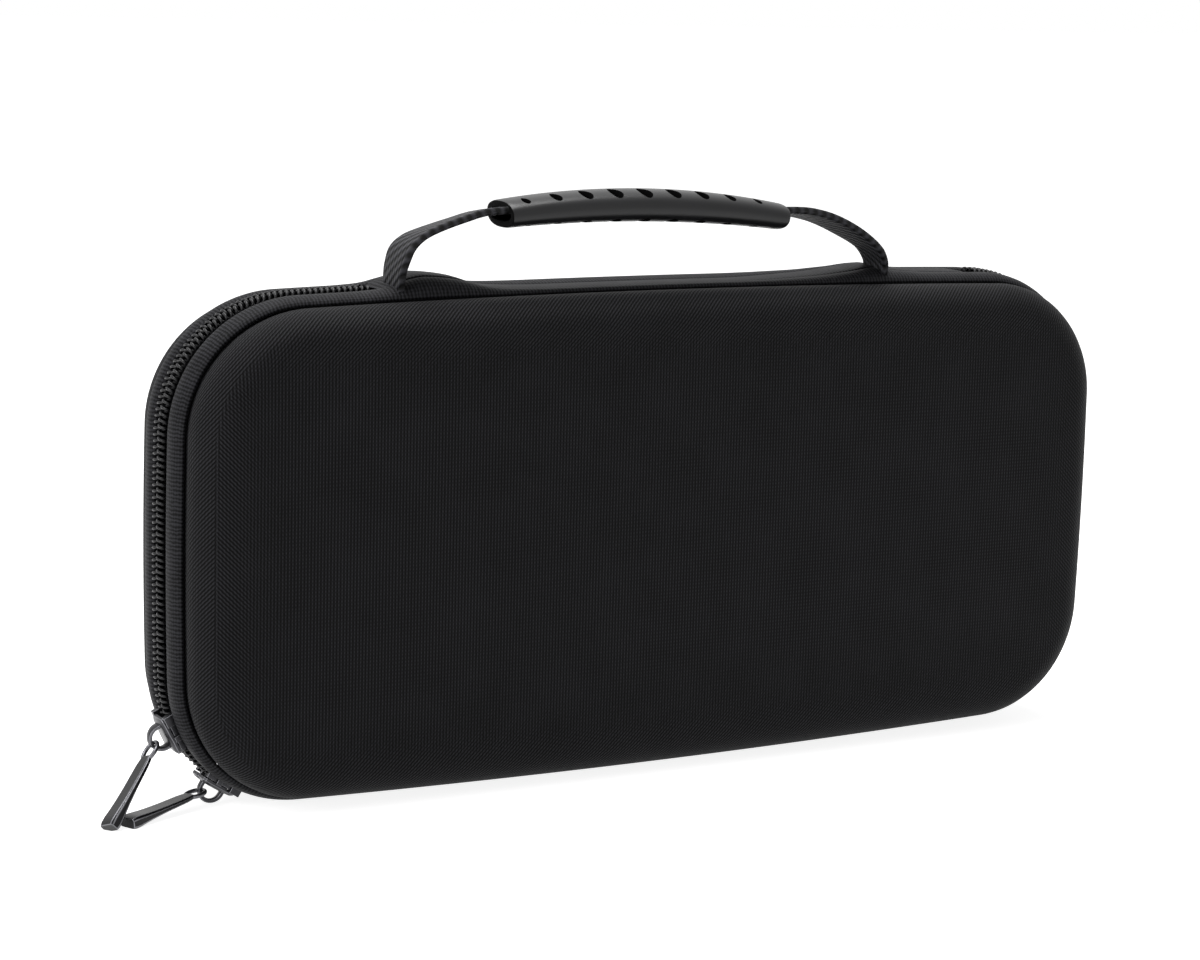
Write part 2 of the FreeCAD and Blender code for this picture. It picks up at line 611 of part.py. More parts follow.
def make_grip():
    """Moulded sleeve on the webbing: an arched oval tube with a row of vents above and below."""
    wires = []
    for station in (-1, -0.72, -0.36, 0, 0.36, 0.72, 1):
        swell = 1 - station ** 2
        width = value("Sizes.grip_end_width") + swell * value("Sizes.grip_width - Sizes.grip_end_width")
        height = value("Sizes.grip_end_height") + swell * value("Sizes.grip_height - Sizes.grip_end_height")
        wire = Part.Wire(Part.Ellipse(Vector(0, 0, 0), width / 2, height / 2).toShape())
        across = Rotation(Vector(0, 1, 0), Vector(0, 0, 1), Vector(1, 0, 0), "XYZ")
        wire.Placement = grip_place(station * grip_half).multiply(Placement(Vector(0, 0, 0), across))
        wires.append(wire)
    sleeve = Part.makeLoft(wires, True, False)
    clearance = value("Sizes.seat_gap")
    passage = strap_solid(value("Sizes.strap_thick") + 2 * clearance, value("Sizes.strap_width") + 2 * clearance)
    sleeve = sleeve.cut(passage)
    count = int(value("Sizes.vent_count"))
    vents = []
    for number in range(count):
        place = number - (count - 1) / 2
        share = 1 - 0.5 * (2 * place / max(count - 1, 1)) ** 2
        length = value("Sizes.vent_length") * share
        width = value("Sizes.vent_width") * share
        tall = 2 * value("Sizes.grip_height")
        slot = Part.makeBox(width, length - width, tall, Vector(-width / 2, (width - length) / 2, -tall / 2))
        for end in (-1, 1):
            round_end = Part.makeCylinder(width / 2, tall, Vector(0, end * (length - width) / 2, -tall / 2))
            slot = slot.fuse(round_end)
        slot = slot.removeSplitter()
        slot.Placement = grip_place(place * value("Sizes.vent_pitch"))
        vents.append(slot)
    feature = doc.addObject("Part::Feature", "handle_grip")
    feature.Label = feature.Name
    feature.Shape = sleeve.cut(vents)


# A slider is built flat, X along the zip and Z outwards, and then set on the lower left corner's arc.
corner_x = -corner.x
corner_z = middle_z - corner.y


def corner_placement(angle):
    """Turns the slider's own axes to the corner: angle is measured down from the left."""
    outwards = Rotation(Vector(0, 1, 0), -90 - angle)
    return Placement(Vector(corner_x, 0, corner_z), outwards)


def add_box(name, length, width, height, low_x, low_y, low_z):
    box = doc.addObject("Part::Box", name)
    box.setExpression("Length", length)
    box.setExpression("Width", width)
    box.setExpression("Height", height)
    box.setExpression("Placement.Base.x", low_x)
    box.setExpression("Placement.Base.y", low_y)
    box.setExpression("Placement.Base.z", low_z)
    return box


def make_slider(label, angle):
    """Die-cast slider: outer plate with rails, inner plate, the post between the strands, and the bail."""
    half = "Sizes.slider_length / 2"
    outer_low = "(Sizes.corner_radius + Sizes.tooth_proud + Sizes.slider_gap)"
    tape_inside = "(Sizes.corner_radius - Sizes.tape_inset - Sizes.tape_thick)"
    inner_high = "(sqrt(%s ^ 2 - (%s) ^ 2) - Sizes.slider_gap)" % (tape_inside, half)
    rail_width = "(Sizes.slider_width / 2 - Sizes.tape_start - Sizes.strand_width - Sizes.slider_gap)"
    rail_drop = "2.2"
    wide = "Sizes.slider_width"
    pieces = [
        add_box(label + "_outer_plate", "Sizes.slider_length", wide, "Sizes.plate_thick",
                "-" + half, "-Sizes.slider_width / 2", outer_low),
        add_box(label + "_inner_plate", "Sizes.slider_length", wide + " - 0.8", "Sizes.plate_thick",
                "-" + half, "-(Sizes.slider_width - 0.8) / 2", inner_high + " - Sizes.plate_thick"),
        add_box(label + "_post", "Sizes.slider_length * 0.36", "Sizes.post_width",
                outer_low + " - " + inner_high + " + Sizes.plate_thick",
                "Sizes.slider_length * 0.12", "-Sizes.post_width / 2", inner_high + " - Sizes.plate_thick / 2"),
    ]
    for side, low_y in (("near", "-Sizes.slider_width / 2"), ("far", "Sizes.slider_width / 2 - " + rail_width)):
        pieces.append(add_box("%s_%s_rail" % (label, side), "Sizes.slider_length", rail_width, rail_drop,
                              "-" + half, low_y, outer_low + " - %s + Sizes.plate_thick / 2" % rail_drop))
    bail = doc.addObject("Part::Torus", label + "_bail")
    bail.setExpression("Radius1", "Sizes.bail_reach")
    bail.setExpression("Radius2", "Sizes.bail_thick / 2")
    bail.Angle3 = 180
    arch_middle = Vector(0, 0, value(outer_low + " + Sizes.plate_thick + Sizes.bail_leg"))
    bail.Placement = Placement(arch_middle, Rotation(Vector(1, 0, 0), 90))
    pieces.append(bail)
    for side, sign in (("first", "-"), ("second", "")):
        leg = doc.addObject("Part::Cylinder", "%s_%s_leg" % (label, side))
        leg.setExpression("Radius", "Sizes.bail_thick / 2")
        leg.setExpression("Height", "Sizes.bail_leg + Sizes.plate_thick / 2")
        leg.setExpression("Placement.Base.x", sign + "Sizes.bail_reach")
        leg.setExpression("Placement.Base.z", outer_low + " + Sizes.plate_thick / 2")
        pieces.append(leg)
    fused = doc.addObject("Part::MultiFuse", label + "_cast")
    fused.Shapes = pieces
    fused.Refine = True
    doc.recompute()
    plate_top = value(outer_low + " + Sizes.plate_thick")
    upright = [index for index, edge in enumerate(fused.Shape.Edges, start=1)
               if abs(edge.BoundBox.XLength) < 0.01 and abs(edge.BoundBox.YLength) < 0.01
               and abs(edge.BoundBox.ZMax - plate_top) < 0.01 and abs(abs(edge.CenterOfMass.y) - value(wide) / 2) < 0.01]
    slider = doc.addObject("Part::Fillet", label)
    slider.Base = fused
    slider.Edges = [(index, 1.2, 1.2) for index in upright]
    slider.Label = label
    slider.Placement = corner_placement(value(angle))
    doc.recompute()


def bail_point(angle):
    """The middle of a bail's arch, which a pull swings about."""
    out = value("Sizes.corner_radius + Sizes.tooth_proud + Sizes.slider_gap + Sizes.plate_thick + Sizes.bail_leg")
    turn = math.radians(180 + angle)
    return Vector(corner_x + out * math.cos(turn), 0, corner_z + out * math.sin(turn))


def make_pull(label, slider_angle, lean):
    """Die-cast pull tab: a round eye on the bail, a bar that thickens away from it, and a bevelled nose."""
    body = new_body(label)
    swell_x = "(Sizes.pull_length - Sizes.pull_nose)"
    points = (("0", "-Sizes.pull_thick / 2"), (swell_x, "-Sizes.pull_swell / 2"),
              ("Sizes.pull_length", "-Sizes.pull_nose_thick / 2"), ("Sizes.pull_length", "Sizes.pull_nose_thick / 2"),
              (swell_x, "Sizes.pull_swell / 2"), ("0", "Sizes.pull_thick / 2"))
    bar = polygon_sketch(body, label + "_bar", points, "XZ_Plane", "0")
    feature = body.newObject("PartDesign::Pad", label + "_bar_pad")
    feature.Profile = bar
    feature.setExpression("Length", "Sizes.pull_width")
    feature.Midplane = True
    doc.recompute()
    for name, radius, kind in (("_eye", "Sizes.pull_eye", "Pad"), ("_hole", "Sizes.pull_eye_hole", "Pocket")):
        sketch = body.newObject("Sketcher::SketchObject", label + name)
        plane = [item for item in body.Origin.OriginFeatures if item.Role == "XY_Plane"][0]
        sketch.AttachmentSupport = [(plane, "")]
        sketch.MapMode = "FlatFace"
        sketch.addGeometry(Part.Circle(Vector(0, 0, 0), Vector(0, 0, 1), value(radius)), False)
        sketch.addConstraint(Sketcher.Constraint("Coincident", 0, 3, -1, 1))
        dimension(sketch, "radius", "Radius", (0,), radius)
        feature = body.newObject("PartDesign::" + kind, label + name + "_" + kind.lower())
        feature.Profile = sketch
        feature.Midplane = True
        if kind == "Pad":
            feature.setExpression("Length", "Sizes.pull_thick")
        else:
            feature.Type = 1
        doc.recompute()
    swell_end = value(swell_x)
    base = body.Tip
    nose_end = value("Sizes.pull_length")
    edges = ["Edge%d" % index for index, edge in enumerate(base.Shape.Edges, start=1)
             if edge.BoundBox.XMin > nose_end - 0.01 and edge.BoundBox.ZLength < 0.01]
    bevel = body.newObject("PartDesign::Chamfer", label + "_bevel")
    bevel.Base = (base, edges)
    bevel.setExpression("Size", "Sizes.pull_thick * 0.25")
    doc.recompute()
    arch = bail_point(value(slider_angle))
    hang = value("Sizes.bail_reach + Sizes.pull_eye_hole - Sizes.bail_thick / 2 - 0.2")
    wire = value("Sizes.bail_reach")
    swell, nose = value("Sizes.pull_swell / 2"), value("Sizes.pull_nose_thick / 2")
    half_wide, eye, half_thick = value("Sizes.pull_width / 2"), value("Sizes.pull_eye"), value("Sizes.pull_thick / 2")
    corners = [Vector(x, y, z) for x, y, z in (
        (swell_end, half_wide, swell), (nose_end, half_wide, nose), (0, eye, half_thick), (eye, 0, half_thick))]
    corners = [Vector(point.x, point.y * side, point.z * face) for point in corners
               for side in (-1, 1) for face in (-1, 1)]

    def hung(degrees):
        """The pull's placement when it hangs at an angle from +X towards +Z and leans to the front."""
        out = Rotation(Vector(0, 1, 0), -degrees).multVec(Vector(1, 0, 0))
        leaning = Rotation(out.cross(Vector(0, 1, 0)), -value(lean))
        turned = leaning.multiply(Rotation(Vector(0, 1, 0), -degrees))
        return Placement(arch + out * wire + turned.multVec(Vector(hang - wire, 0, 0)), turned)

    # the pull hangs until its lowest corner rests on the level that the case stands on
    high, low = 170.0, 170.0
    while min(hung(low).multVec(point).z for point in corners) > 0:
        high, low = low, low + 1
    for _ in range(40):
        middle = (high + low) / 2
        if min(hung(middle).multVec(point).z for point in corners) > 0:
            high = middle
        else:
            low = middle
    direction = math.radians(high)
    body.Placement = hung(high)
    print(label, "turns about", arch, "direction", math.degrees(direction))
    doc.recompute()


def make_tray():
    """Moulded tray in the back half: a recess for the console, with a relief under each control stick."""
    body = new_body("console_tray")
    outer = "(%s + Sizes.tray_wall_gap)" % ROOM_INSET
    block = outline_sketch(body, "tray_block", outer, "Sizes.tray_rim", False)
    pad(body, block, "%s - Sizes.tray_wall_gap - Sizes.tray_rim" % ROOM_DEPTH, False)
    edge_round = "Sizes.cavity_round - Sizes.seat_gap - Sizes.lining_thick - Sizes.tray_wall_gap"
    fillet(body, outer, "(%s - Sizes.tray_wall_gap)" % ROOM_DEPTH, False, edge_round, "tray_round")
    bay = rounded_sketch(body, "tray_bay", "Sizes.bay_width", "Sizes.bay_height", "Sizes.bay_round",
                         "Sizes.tray_rim", False)
    pocket(body, bay, "Sizes.bay_depth", False)
    reliefs = face_sketch(body, "tray_reliefs", "Sizes.tray_rim + Sizes.bay_depth", False)
    for index, sign in enumerate((-1, 1)):
        centre = Vector(sign * value("Sizes.stick_spread"), middle_z, 0)
        reliefs.addGeometry(Part.Circle(centre, Vector(0, 0, 1), value("Sizes.stick_radius")), False)
        dimension(reliefs, "radius_%d" % index, "Radius", (index,), "Sizes.stick_radius")
        dimension(reliefs, "x_%d" % index, "DistanceX", (-1, 1, index, 3), "%d * Sizes.stick_spread" % sign)
        dimension(reliefs, "z_%d" % index, "DistanceY", (-1, 1, index, 3), MIDDLE_Z)
    pocket(body, reliefs, "Sizes.stick_depth", False)


def make_panel():
    """Padded card panel in the lid, with its rows of card pockets and the cloth that carries it."""
    body = new_body("card_panel")
    board = rounded_sketch(body, "panel_board", "Sizes.panel_width", "Sizes.panel_height", "Sizes.panel_round",
                           "Sizes.panel_start", True)
    pad(body, board, "Sizes.panel_thick", True)
    count = int(value("Sizes.row_count"))
    for number in range(count):
        row_body = new_body("card_pocket_row_%d" % (number + 1))
        middle = "(%s + %s * Sizes.row_pitch)" % (MIDDLE_Z, (count - 1) / 2 - number)
        low = "%s - Sizes.row_height / 2" % middle
        high = "%s + Sizes.row_height / 2" % middle
        half = "Sizes.row_width / 2"
        points = (("-" + half, low), (half, low), (half, high), ("-" + half, high))
        start = "Sizes.panel_start - Sizes.seat_gap - Sizes.row_thick"
        strip = polygon_sketch(row_body, "row_%d_strip" % number, points, "XZ_Plane", start)
        pad(row_body, strip, "Sizes.row_thick", True)
        notches = row_body.newObject("Sketcher::SketchObject", "row_%d_notches" % number)
        plane = [item for item in row_body.Origin.OriginFeatures if item.Role == "XZ_Plane"][0]
        notches.AttachmentSupport = [(plane, "")]
        notches.MapMode = "FlatFace"
        notches.setExpression("AttachmentOffset.Base.z", start)
        cards = int(value("Sizes.card_count"))
        for card in range(cards):
            place = "(%s) * Sizes.row_width / %d" % (card - (cards - 1) / 2, cards)
            centre = Vector(value(place), value(high), 0)
            notches.addGeometry(Part.Circle(centre, Vector(0, 0, 1), value("Sizes.card_notch")), False)
            dimension(notches, "radius_%d" % card, "Radius", (card,), "Sizes.card_notch")
            dimension(notches, "x_%d" % card, "DistanceX", (-1, 1, card, 3), place)
            dimension(notches, "z_%d" % card, "DistanceY", (-1, 1, card, 3), high)
        pocket(row_body, notches, "Sizes.row_thick", True)
    tape = new_body("panel_hinge_tape")
    low = "%s + Sizes.panel_height / 2 + Sizes.seat_gap" % MIDDLE_Z
    half = "Sizes.hinge_tape_width / 2"
    high = "%s + %s - %s - Sizes.seat_gap - (%s) ^ 2 / (2 * %s)" % (MIDDLE_Z, HALF_HEIGHT, ROOM_INSET, half, LONG_RADIUS)
    points = (("-" + half, low), (half, low), (half, high), ("-" + half, high))
    start = "Sizes.panel_start + Sizes.panel_thick - Sizes.hinge_tape_thick"
    strip = polygon_sketch(tape, "hinge_tape_strip", points, "XZ_Plane", start)
    pad(tape, strip, "Sizes.hinge_tape_thick", True)


def make_mesh_pocket():
    """Mesh pocket flat on the lid's lining, with a tape sewn round it."""
    floor = "(%s - Sizes.seat_gap)" % ROOM_DEPTH
    mesh = new_body("mesh_pocket")
    sheet_start = "%s - Sizes.mesh_thick" % floor
    net = rounded_sketch(mesh, "mesh_net", "Sizes.mesh_width", "Sizes.mesh_height", "Sizes.mesh_round",
                         sheet_start, True)
    pad(mesh, net, "Sizes.mesh_thick", True)
    edging = new_body("mesh_pocket_edging")
    start = "%s - Sizes.edging_thick" % floor
    grow = "2 * (Sizes.seat_gap + Sizes.edging_width)"
    outer = rounded_sketch(edging, "edging_outer", "(Sizes.mesh_width + %s)" % grow, "(Sizes.mesh_height + %s)" % grow,
                           "(Sizes.mesh_round + Sizes.seat_gap + Sizes.edging_width)", start, True)
    pad(edging, outer, "Sizes.edging_thick", True)
    inner = rounded_sketch(edging, "edging_inner", "(Sizes.mesh_width + 2 * Sizes.seat_gap)",
                           "(Sizes.mesh_height + 2 * Sizes.seat_gap)", "(Sizes.mesh_round + Sizes.seat_gap)", start, True)
    pocket(edging, inner, "Sizes.edging_thick", True)


for is_front in (True, False):
    make_shell(is_front)
    make_lining(is_front)
    make_band(is_front)
    make_tape(is_front)
    make_strand(is_front)
make_spine()
make_strap()
make_grip()
make_slider("upper_slider", "Sizes.upper_slider_angle")
make_slider("lower_slider", "Sizes.lower_slider_angle")
make_pull("upper_pull_tab", "Sizes.upper_slider_angle", "Sizes.upper_pull_lean")
make_pull("lower_pull_tab", "Sizes.lower_slider_angle", "Sizes.lower_pull_lean")
make_tray()
make_panel()
make_mesh_pocket()
doc.recompute()
print("corner centre", corner_x, corner_z, "rim top", rim_top)

NODES = [
    "front_shell", "front_lining", "front_rim_band", "zip_tape_front", "zip_coil_front",
    "back_shell", "back_lining", "back_rim_band", "zip_tape_back", "zip_coil_back",
    "spine_cloth", "handle_strap", "handle_grip",
    "upper_slider", "lower_slider", "upper_pull_tab", "lower_pull_tab",
    "console_tray", "card_panel", "panel_hinge_tape", "mesh_pocket", "mesh_pocket_edging",
]
NODES += ["card_pocket_row_%d" % (number + 1) for number in range(int(value("Sizes.row_count")))]

for item in doc.Objects:
    if "Invalid" in item.State or "Error" in item.State:
        raise RuntimeError("%s is %s" % (item.Name, item.State))

os.makedirs("parts", exist_ok=True)
for node in NODES:
    shape = doc.getObject(node).Shape
    if shape.isNull() or not shape.isValid():
        raise RuntimeError(node + " has no valid shape")
    shape.exportStep("parts/%s.step" % node)
    box = shape.BoundBox
    print("%-20s solids %d faces %4d volume %9.1f  x %7.2f %7.2f  y %6.2f %6.2f  z %6.2f %6.2f" % (
        node, len(shape.Solids), len(shape.Faces), shape.Volume,
        box.XMin, box.XMax, box.YMin, box.YMax, box.ZMin, box.ZMax))
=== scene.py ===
import math

import bmesh
import bpy
from mathutils import Matrix, Vector


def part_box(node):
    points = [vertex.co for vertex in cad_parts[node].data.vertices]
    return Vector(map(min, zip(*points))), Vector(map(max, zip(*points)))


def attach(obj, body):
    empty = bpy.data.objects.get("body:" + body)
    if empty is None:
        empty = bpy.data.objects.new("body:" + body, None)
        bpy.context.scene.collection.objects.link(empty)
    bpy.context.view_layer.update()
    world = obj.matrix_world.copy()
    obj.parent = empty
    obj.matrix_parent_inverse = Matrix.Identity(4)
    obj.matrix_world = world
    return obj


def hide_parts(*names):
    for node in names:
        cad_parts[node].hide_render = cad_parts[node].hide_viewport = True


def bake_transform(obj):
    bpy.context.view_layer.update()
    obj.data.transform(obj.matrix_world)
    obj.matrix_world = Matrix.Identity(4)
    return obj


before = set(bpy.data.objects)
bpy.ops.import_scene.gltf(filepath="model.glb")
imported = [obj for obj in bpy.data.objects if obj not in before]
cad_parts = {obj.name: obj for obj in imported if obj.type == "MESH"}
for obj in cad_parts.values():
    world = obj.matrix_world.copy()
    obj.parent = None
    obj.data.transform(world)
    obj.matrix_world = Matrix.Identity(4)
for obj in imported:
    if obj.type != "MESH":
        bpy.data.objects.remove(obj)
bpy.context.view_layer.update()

# A hard-shelled zip case for a handheld game console. It stands closed on its long edge: X runs along
# the case, -Y is the front, Z is up. Lengths are in millimetres until a mesh is made.


# The moulded shells: foam board pressed hot with oxford cloth on its outside. Each has a neck that the
# zip is sewn to, a small step, a bulging wall and a flat face. The cloth is pulled over the mould, so its
# threads run straight over the face and fan out round the corners.
MM = 0.001
RIM_HALF_HEIGHT = 63.0
CORNER_RADIUS = 33.2
LONG_CROWN, SIDE_CROWN = 2.5, 1.6
BAND_INSET = 0.3
band_high = Vector(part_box("front_rim_band")[1]) / MM
RIM_HALF_WIDTH = band_high.x + BAND_INSET
MIDDLE_Z = band_high.z + BAND_INSET - RIM_HALF_HEIGHT
LONG_RADIUS = RIM_HALF_WIDTH ** 2 / (2 * LONG_CROWN)
SIDE_RADIUS = RIM_HALF_HEIGHT ** 2 / (2 * SIDE_CROWN)


def rim_arcs():
    """The rim as arcs (centre x, centre z, radius, start, end), anticlockwise from the top middle."""
    below = Vector((0, RIM_HALF_HEIGHT - LONG_RADIUS))
    beside = Vector((RIM_HALF_WIDTH - SIDE_RADIUS, 0))
    reach_below, reach_beside = LONG_RADIUS - CORNER_RADIUS, SIDE_RADIUS - CORNER_RADIUS
    along = (beside - below).normalized()
    apart = (beside - below).length
    foot = (reach_below ** 2 - reach_beside ** 2 + apart ** 2) / (2 * apart)
    height = math.sqrt(reach_below ** 2 - foot ** 2)
    square = Vector((-along.y, along.x))
    crossings = (below + along * foot + square * sign * height for sign in (1, -1))
    corner = max(crossings, key=lambda point: point.x + point.y)
    long_end = math.atan2(corner.y - below.y, corner.x)
    side_end = math.atan2(corner.y, corner.x - beside.x)
    half, full = math.pi, 2 * math.pi
    arcs = (
        (0, below.y, LONG_RADIUS, half / 2, half - long_end),
        (-corner.x, corner.y, CORNER_RADIUS, half - long_end, half - side_end),
        (-beside.x, 0, SIDE_RADIUS, half - side_end, half + side_end),
        (-corner.x, -corner.y, CORNER_RADIUS, half + side_end, half + long_end),
        (0, -below.y, LONG_RADIUS, half + long_end, full - long_end),
        (corner.x, -corner.y, CORNER_RADIUS, full - long_end, full - side_end),
        (beside.x, 0, SIDE_RADIUS, full - side_end, full + side_end),
        (corner.x, corner.y, CORNER_RADIUS, full + side_end, full + long_end),
        (0, below.y, LONG_RADIUS, full + long_end, full + half / 2),
    )
    return [(x, z + MIDDLE_Z, radius, start, end) for x, z, radius, start, end in arcs]


RIM_ARCS = rim_arcs()
RIM_LENGTH = sum(radius * (end - start) for x, z, radius, start, end in RIM_ARCS)


def rim(station, inset=0.0):
    """Point (x, z) at a length along the rim, moved inwards by inset, and the outward direction."""
    left = station % RIM_LENGTH
    for x, z, radius, start, end in RIM_ARCS:
        if left <= radius * (end - start) or end == RIM_ARCS[-1][4]:
            angle = start + left / radius
            outward = Vector((math.cos(angle), math.sin(angle)))
            return Vector((x, z)) + outward * (radius - inset), outward
        left -= radius * (end - start)


def rim_stations(straight_step, corner_step):
    """Lengths along the rim, closer together round the corners."""
    stations, travelled = [], 0.0
    for x, z, radius, start, end in RIM_ARCS:
        length = radius * (end - start)
        step = corner_step if radius == CORNER_RADIUS else straight_step
        count = max(1, round(length / step))
        stations += [travelled + length * number / count for number in range(count)]
        travelled += length
    return stations


def running_lengths(points):
    """How far each point is along the line through all of them."""
    lengths = [0.0]
    for point, following in zip(points, points[1:]):
        lengths.append(lengths[-1] + math.dist(point, following))
    return lengths


def round_turn(count):
    """Angles that divide a full turn evenly."""
    return [2 * math.pi * number / count for number in range(count)]


def add_grid(mesh, rows, uvs, closed_rows=False, closed_columns=False):
    """Adds a sheet of quads to a mesh: rows of points in mm, and uvs(row, column) in mm."""
    layer = mesh.loops.layers.uv.get("UVMap") or mesh.loops.layers.uv.new("UVMap")
    verts = [[mesh.verts.new(Vector(point) * MM) for point in row] for row in rows]
    height, width = len(rows), len(rows[0])
    for row in range(height if closed_rows else height - 1):
        for column in range(width if closed_columns else width - 1):
            corners = [(row, column), (row + 1, column), (row + 1, column + 1), (row, column + 1)]
            face = mesh.faces.new([verts[r % height][c % width] for r, c in corners])
            face.smooth = True
            for loop, (r, c) in zip(face.loops, corners):
                loop[layer].uv = uvs(r, c)
    return verts


def finish_mesh(name, mesh, material, merge=0.0):
    """Turns a mesh into an object, with points closer than merge in mm made one."""
    if merge:
        bmesh.ops.remove_doubles(mesh, verts=mesh.verts, dist=merge * MM)
    bmesh.ops.recalc_face_normals(mesh, faces=mesh.faces)
    data = bpy.data.meshes.new(name)
    mesh.to_mesh(data)
    mesh.free()
    data.materials.append(material)
    made = bpy.data.objects.new(name, data)
    bpy.context.collection.objects.link(made)
    return made


def srgb(hex_colour):
    """A hex colour as a maker would write it, in linear light."""
    parts = [int(hex_colour[place:place + 2], 16) / 255 for place in (1, 3, 5)]
    linear = (part / 12.92 if part <= 0.04045 else ((part + 0.055) / 1.055) ** 2.4 for part in parts)
    return (*linear, 1.0)


def add_node(tree, kind, inputs=None, **settings):
    """Adds a node with its settings. Inputs are values, sockets, or nodes whose first output feeds them."""
    made = tree.nodes.new(kind)
    for name, setting in settings.items():
        setattr(made, name, setting)
    for socket, source in (inputs or {}).items():
        if isinstance(source, bpy.types.Node):
            source = source.outputs[0]
        if isinstance(source, bpy.types.NodeSocket):
            tree.links.new(source, made.inputs[socket])
        else:
            made.inputs[socket].default_value = source
    return made


def math_node(tree, operation, *values, clamp=False):
    """A node that works something out from values, sockets or other nodes."""
    return add_node(tree, "ShaderNodeMath", dict(enumerate(values)), operation=operation, use_clamp=clamp)


def new_material(name, **constants):
    """A material whose shader has the given constant values. Returns it, its tree and its shader."""
    material = bpy.data.materials.new(name)
    material.use_nodes = True
    shader = material.node_tree.nodes["Principled BSDF"]
    for socket, setting in constants.items():
        shader.inputs[socket.replace("_", " ")].default_value = setting
    return material, material.node_tree, shader


def threads(tree, run, pitch, shape="SINE"):
    """Threads side by side: a height that rises and falls once in every pitch of run."""
    turned = math_node(tree, "MULTIPLY", run, 2 * math.pi / pitch)
    return math_node(tree, shape, turned)


def paint_relief_light_and_shade(tree, shader, shade, height, dark, light, strength, depth):
    """Paints shade into a surface's hollows and light on its high places, and raises them by depth in mm.

    dark and light are each a place on the scale of shade and a hex colour."""
    ramp = add_node(tree, "ShaderNodeValToRGB", {0: shade})
    for element, (place, colour) in zip(ramp.color_ramp.elements, (dark, light)):
        element.position, element.color = place, srgb(colour)
    bump = add_node(tree, "ShaderNodeBump",
                    {"Height": height, "Strength": strength, "Distance": depth * MM})
    tree.links.new(ramp.outputs[0], shader.inputs["Base Color"])
    tree.links.new(bump.outputs[0], shader.inputs["Normal"])


# Oxford cloth of nylon yarn, plain woven. Each crossing of the yarns is a small bead that catches light,
# so slanting rows of beads show on the wall and fine upright columns on the face; that light on the beads
# and the shade between them are painted into the colour. The real yarns lie about 0.65 mm apart. That is
# too fine to show, so they are drawn 0.84 to 1.06 mm apart.
OXFORD_COLUMN, OXFORD_BEAD, OXFORD_LINE = 0.84, 0.9, 1.06
oxford, tree, shader = new_material("Woven nylon oxford cloth", Roughness=0.6, Specular_IOR_Level=0.07,
                                    Sheen_Weight=0.02, Sheen_Roughness=0.35)
coords = add_node(tree, "ShaderNodeUVMap", uv_map="UVMap")
yarn_noise = add_node(tree, "ShaderNodeTexNoise", {"Vector": coords, "Scale": 0.9, "Detail": 2.0})
wander = add_node(tree, "ShaderNodeMixRGB",
                  {"Fac": 0.16, "Color1": coords, "Color2": yarn_noise.outputs["Color"]}, blend_type="ADD")
axes = add_node(tree, "ShaderNodeSeparateXYZ", {0: wander})
warp, weft = axes.outputs["X"], axes.outputs["Y"]
rising = math_node(tree, "SUBTRACT", warp, weft)
falling = math_node(tree, "ADD", warp, weft)
column = threads(tree, warp, OXFORD_COLUMN, "COSINE")
bead = threads(tree, weft, OXFORD_BEAD, "COSINE")
rising_line = threads(tree, rising, OXFORD_LINE, "COSINE")
falling_line = threads(tree, falling, OXFORD_LINE, "COSINE")
beaded = math_node(tree, "MULTIPLY_ADD", bead, 0.45, 0.55)
columns = math_node(tree, "MULTIPLY", column, beaded)
broken = math_node(tree, "MULTIPLY", column, 0.25)
slant = add_node(tree, "ShaderNodeAttribute", attribute_name="slant").outputs["Fac"]
to_rising = math_node(tree, "MAXIMUM", slant, 0.0)
back_slant = math_node(tree, "MULTIPLY", slant, -1.0)
to_falling = math_node(tree, "MAXIMUM", back_slant, 0.0)
steep = math_node(tree, "ABSOLUTE", slant)
flat_part = math_node(tree, "SUBTRACT", 1.0, steep)
height = math_node(tree, "MULTIPLY", columns, flat_part)
for line, weight in ((rising_line, to_rising), (falling_line, to_falling)):
    dotted = math_node(tree, "MULTIPLY_ADD", line, 0.85, broken)
    height = math_node(tree, "MULTIPLY_ADD", dotted, weight, height)
height = math_node(tree, "MULTIPLY_ADD", height, 0.5, 0.5)
blotch = add_node(tree, "ShaderNodeTexNoise", {"Vector": coords, "Scale": 0.07, "Detail": 3.0})
shade = math_node(tree, "MULTIPLY_ADD", blotch, 0.25, -0.12)
lit = math_node(tree, "ADD", height, shade, clamp=True)
paint_relief_light_and_shade(tree, shader, lit, height, (0.35, "#020202"), (1.0, "#2b2b2e"), 0.7, 0.2)

NECK_INSET, NECK_START = 3.2, 5.0
WALL_INSET, STEP_DEPTH = 2.5, 11.6
FACE_ROUND, FACE_DEPTH, FACE_CROWN = 8.8, 22.4, 0.35
SHELL_WALL = 3.0
CAVITY_ROUND = 6.0
FACE_LINE_HALF = 72.0
FACE_STEPS = (0.0, 0.35, 0.7, 0.9)
WALL_THREADS_START = 5.2


def shell_profile():
    """Inset and depth of the shell's section, from the face's edge to the floor's edge inside."""
    section = []
    for step in range(11):
        angle = math.pi / 2 * step / 10
        section.append((WALL_INSET + FACE_ROUND * (1 - math.sin(angle)),
                        FACE_DEPTH - FACE_CROWN - (FACE_ROUND - FACE_CROWN) * (1 - math.cos(angle))))
    section += [(WALL_INSET + 0.05, 13.1), (WALL_INSET + 0.22, 12.5), (WALL_INSET + 0.5, 12.0)]
    section += [(NECK_INSET, STEP_DEPTH), (NECK_INSET, 9.8), (NECK_INSET, NECK_START)]
    section.append((NECK_INSET + SHELL_WALL, NECK_START))
    floor = FACE_DEPTH - SHELL_WALL
    for step in range(6):
        angle = math.pi / 2 * step / 5
        section.append((NECK_INSET + SHELL_WALL + CAVITY_ROUND * (1 - math.cos(angle)),
                        floor - CAVITY_ROUND * (1 - math.sin(angle))))
    return section


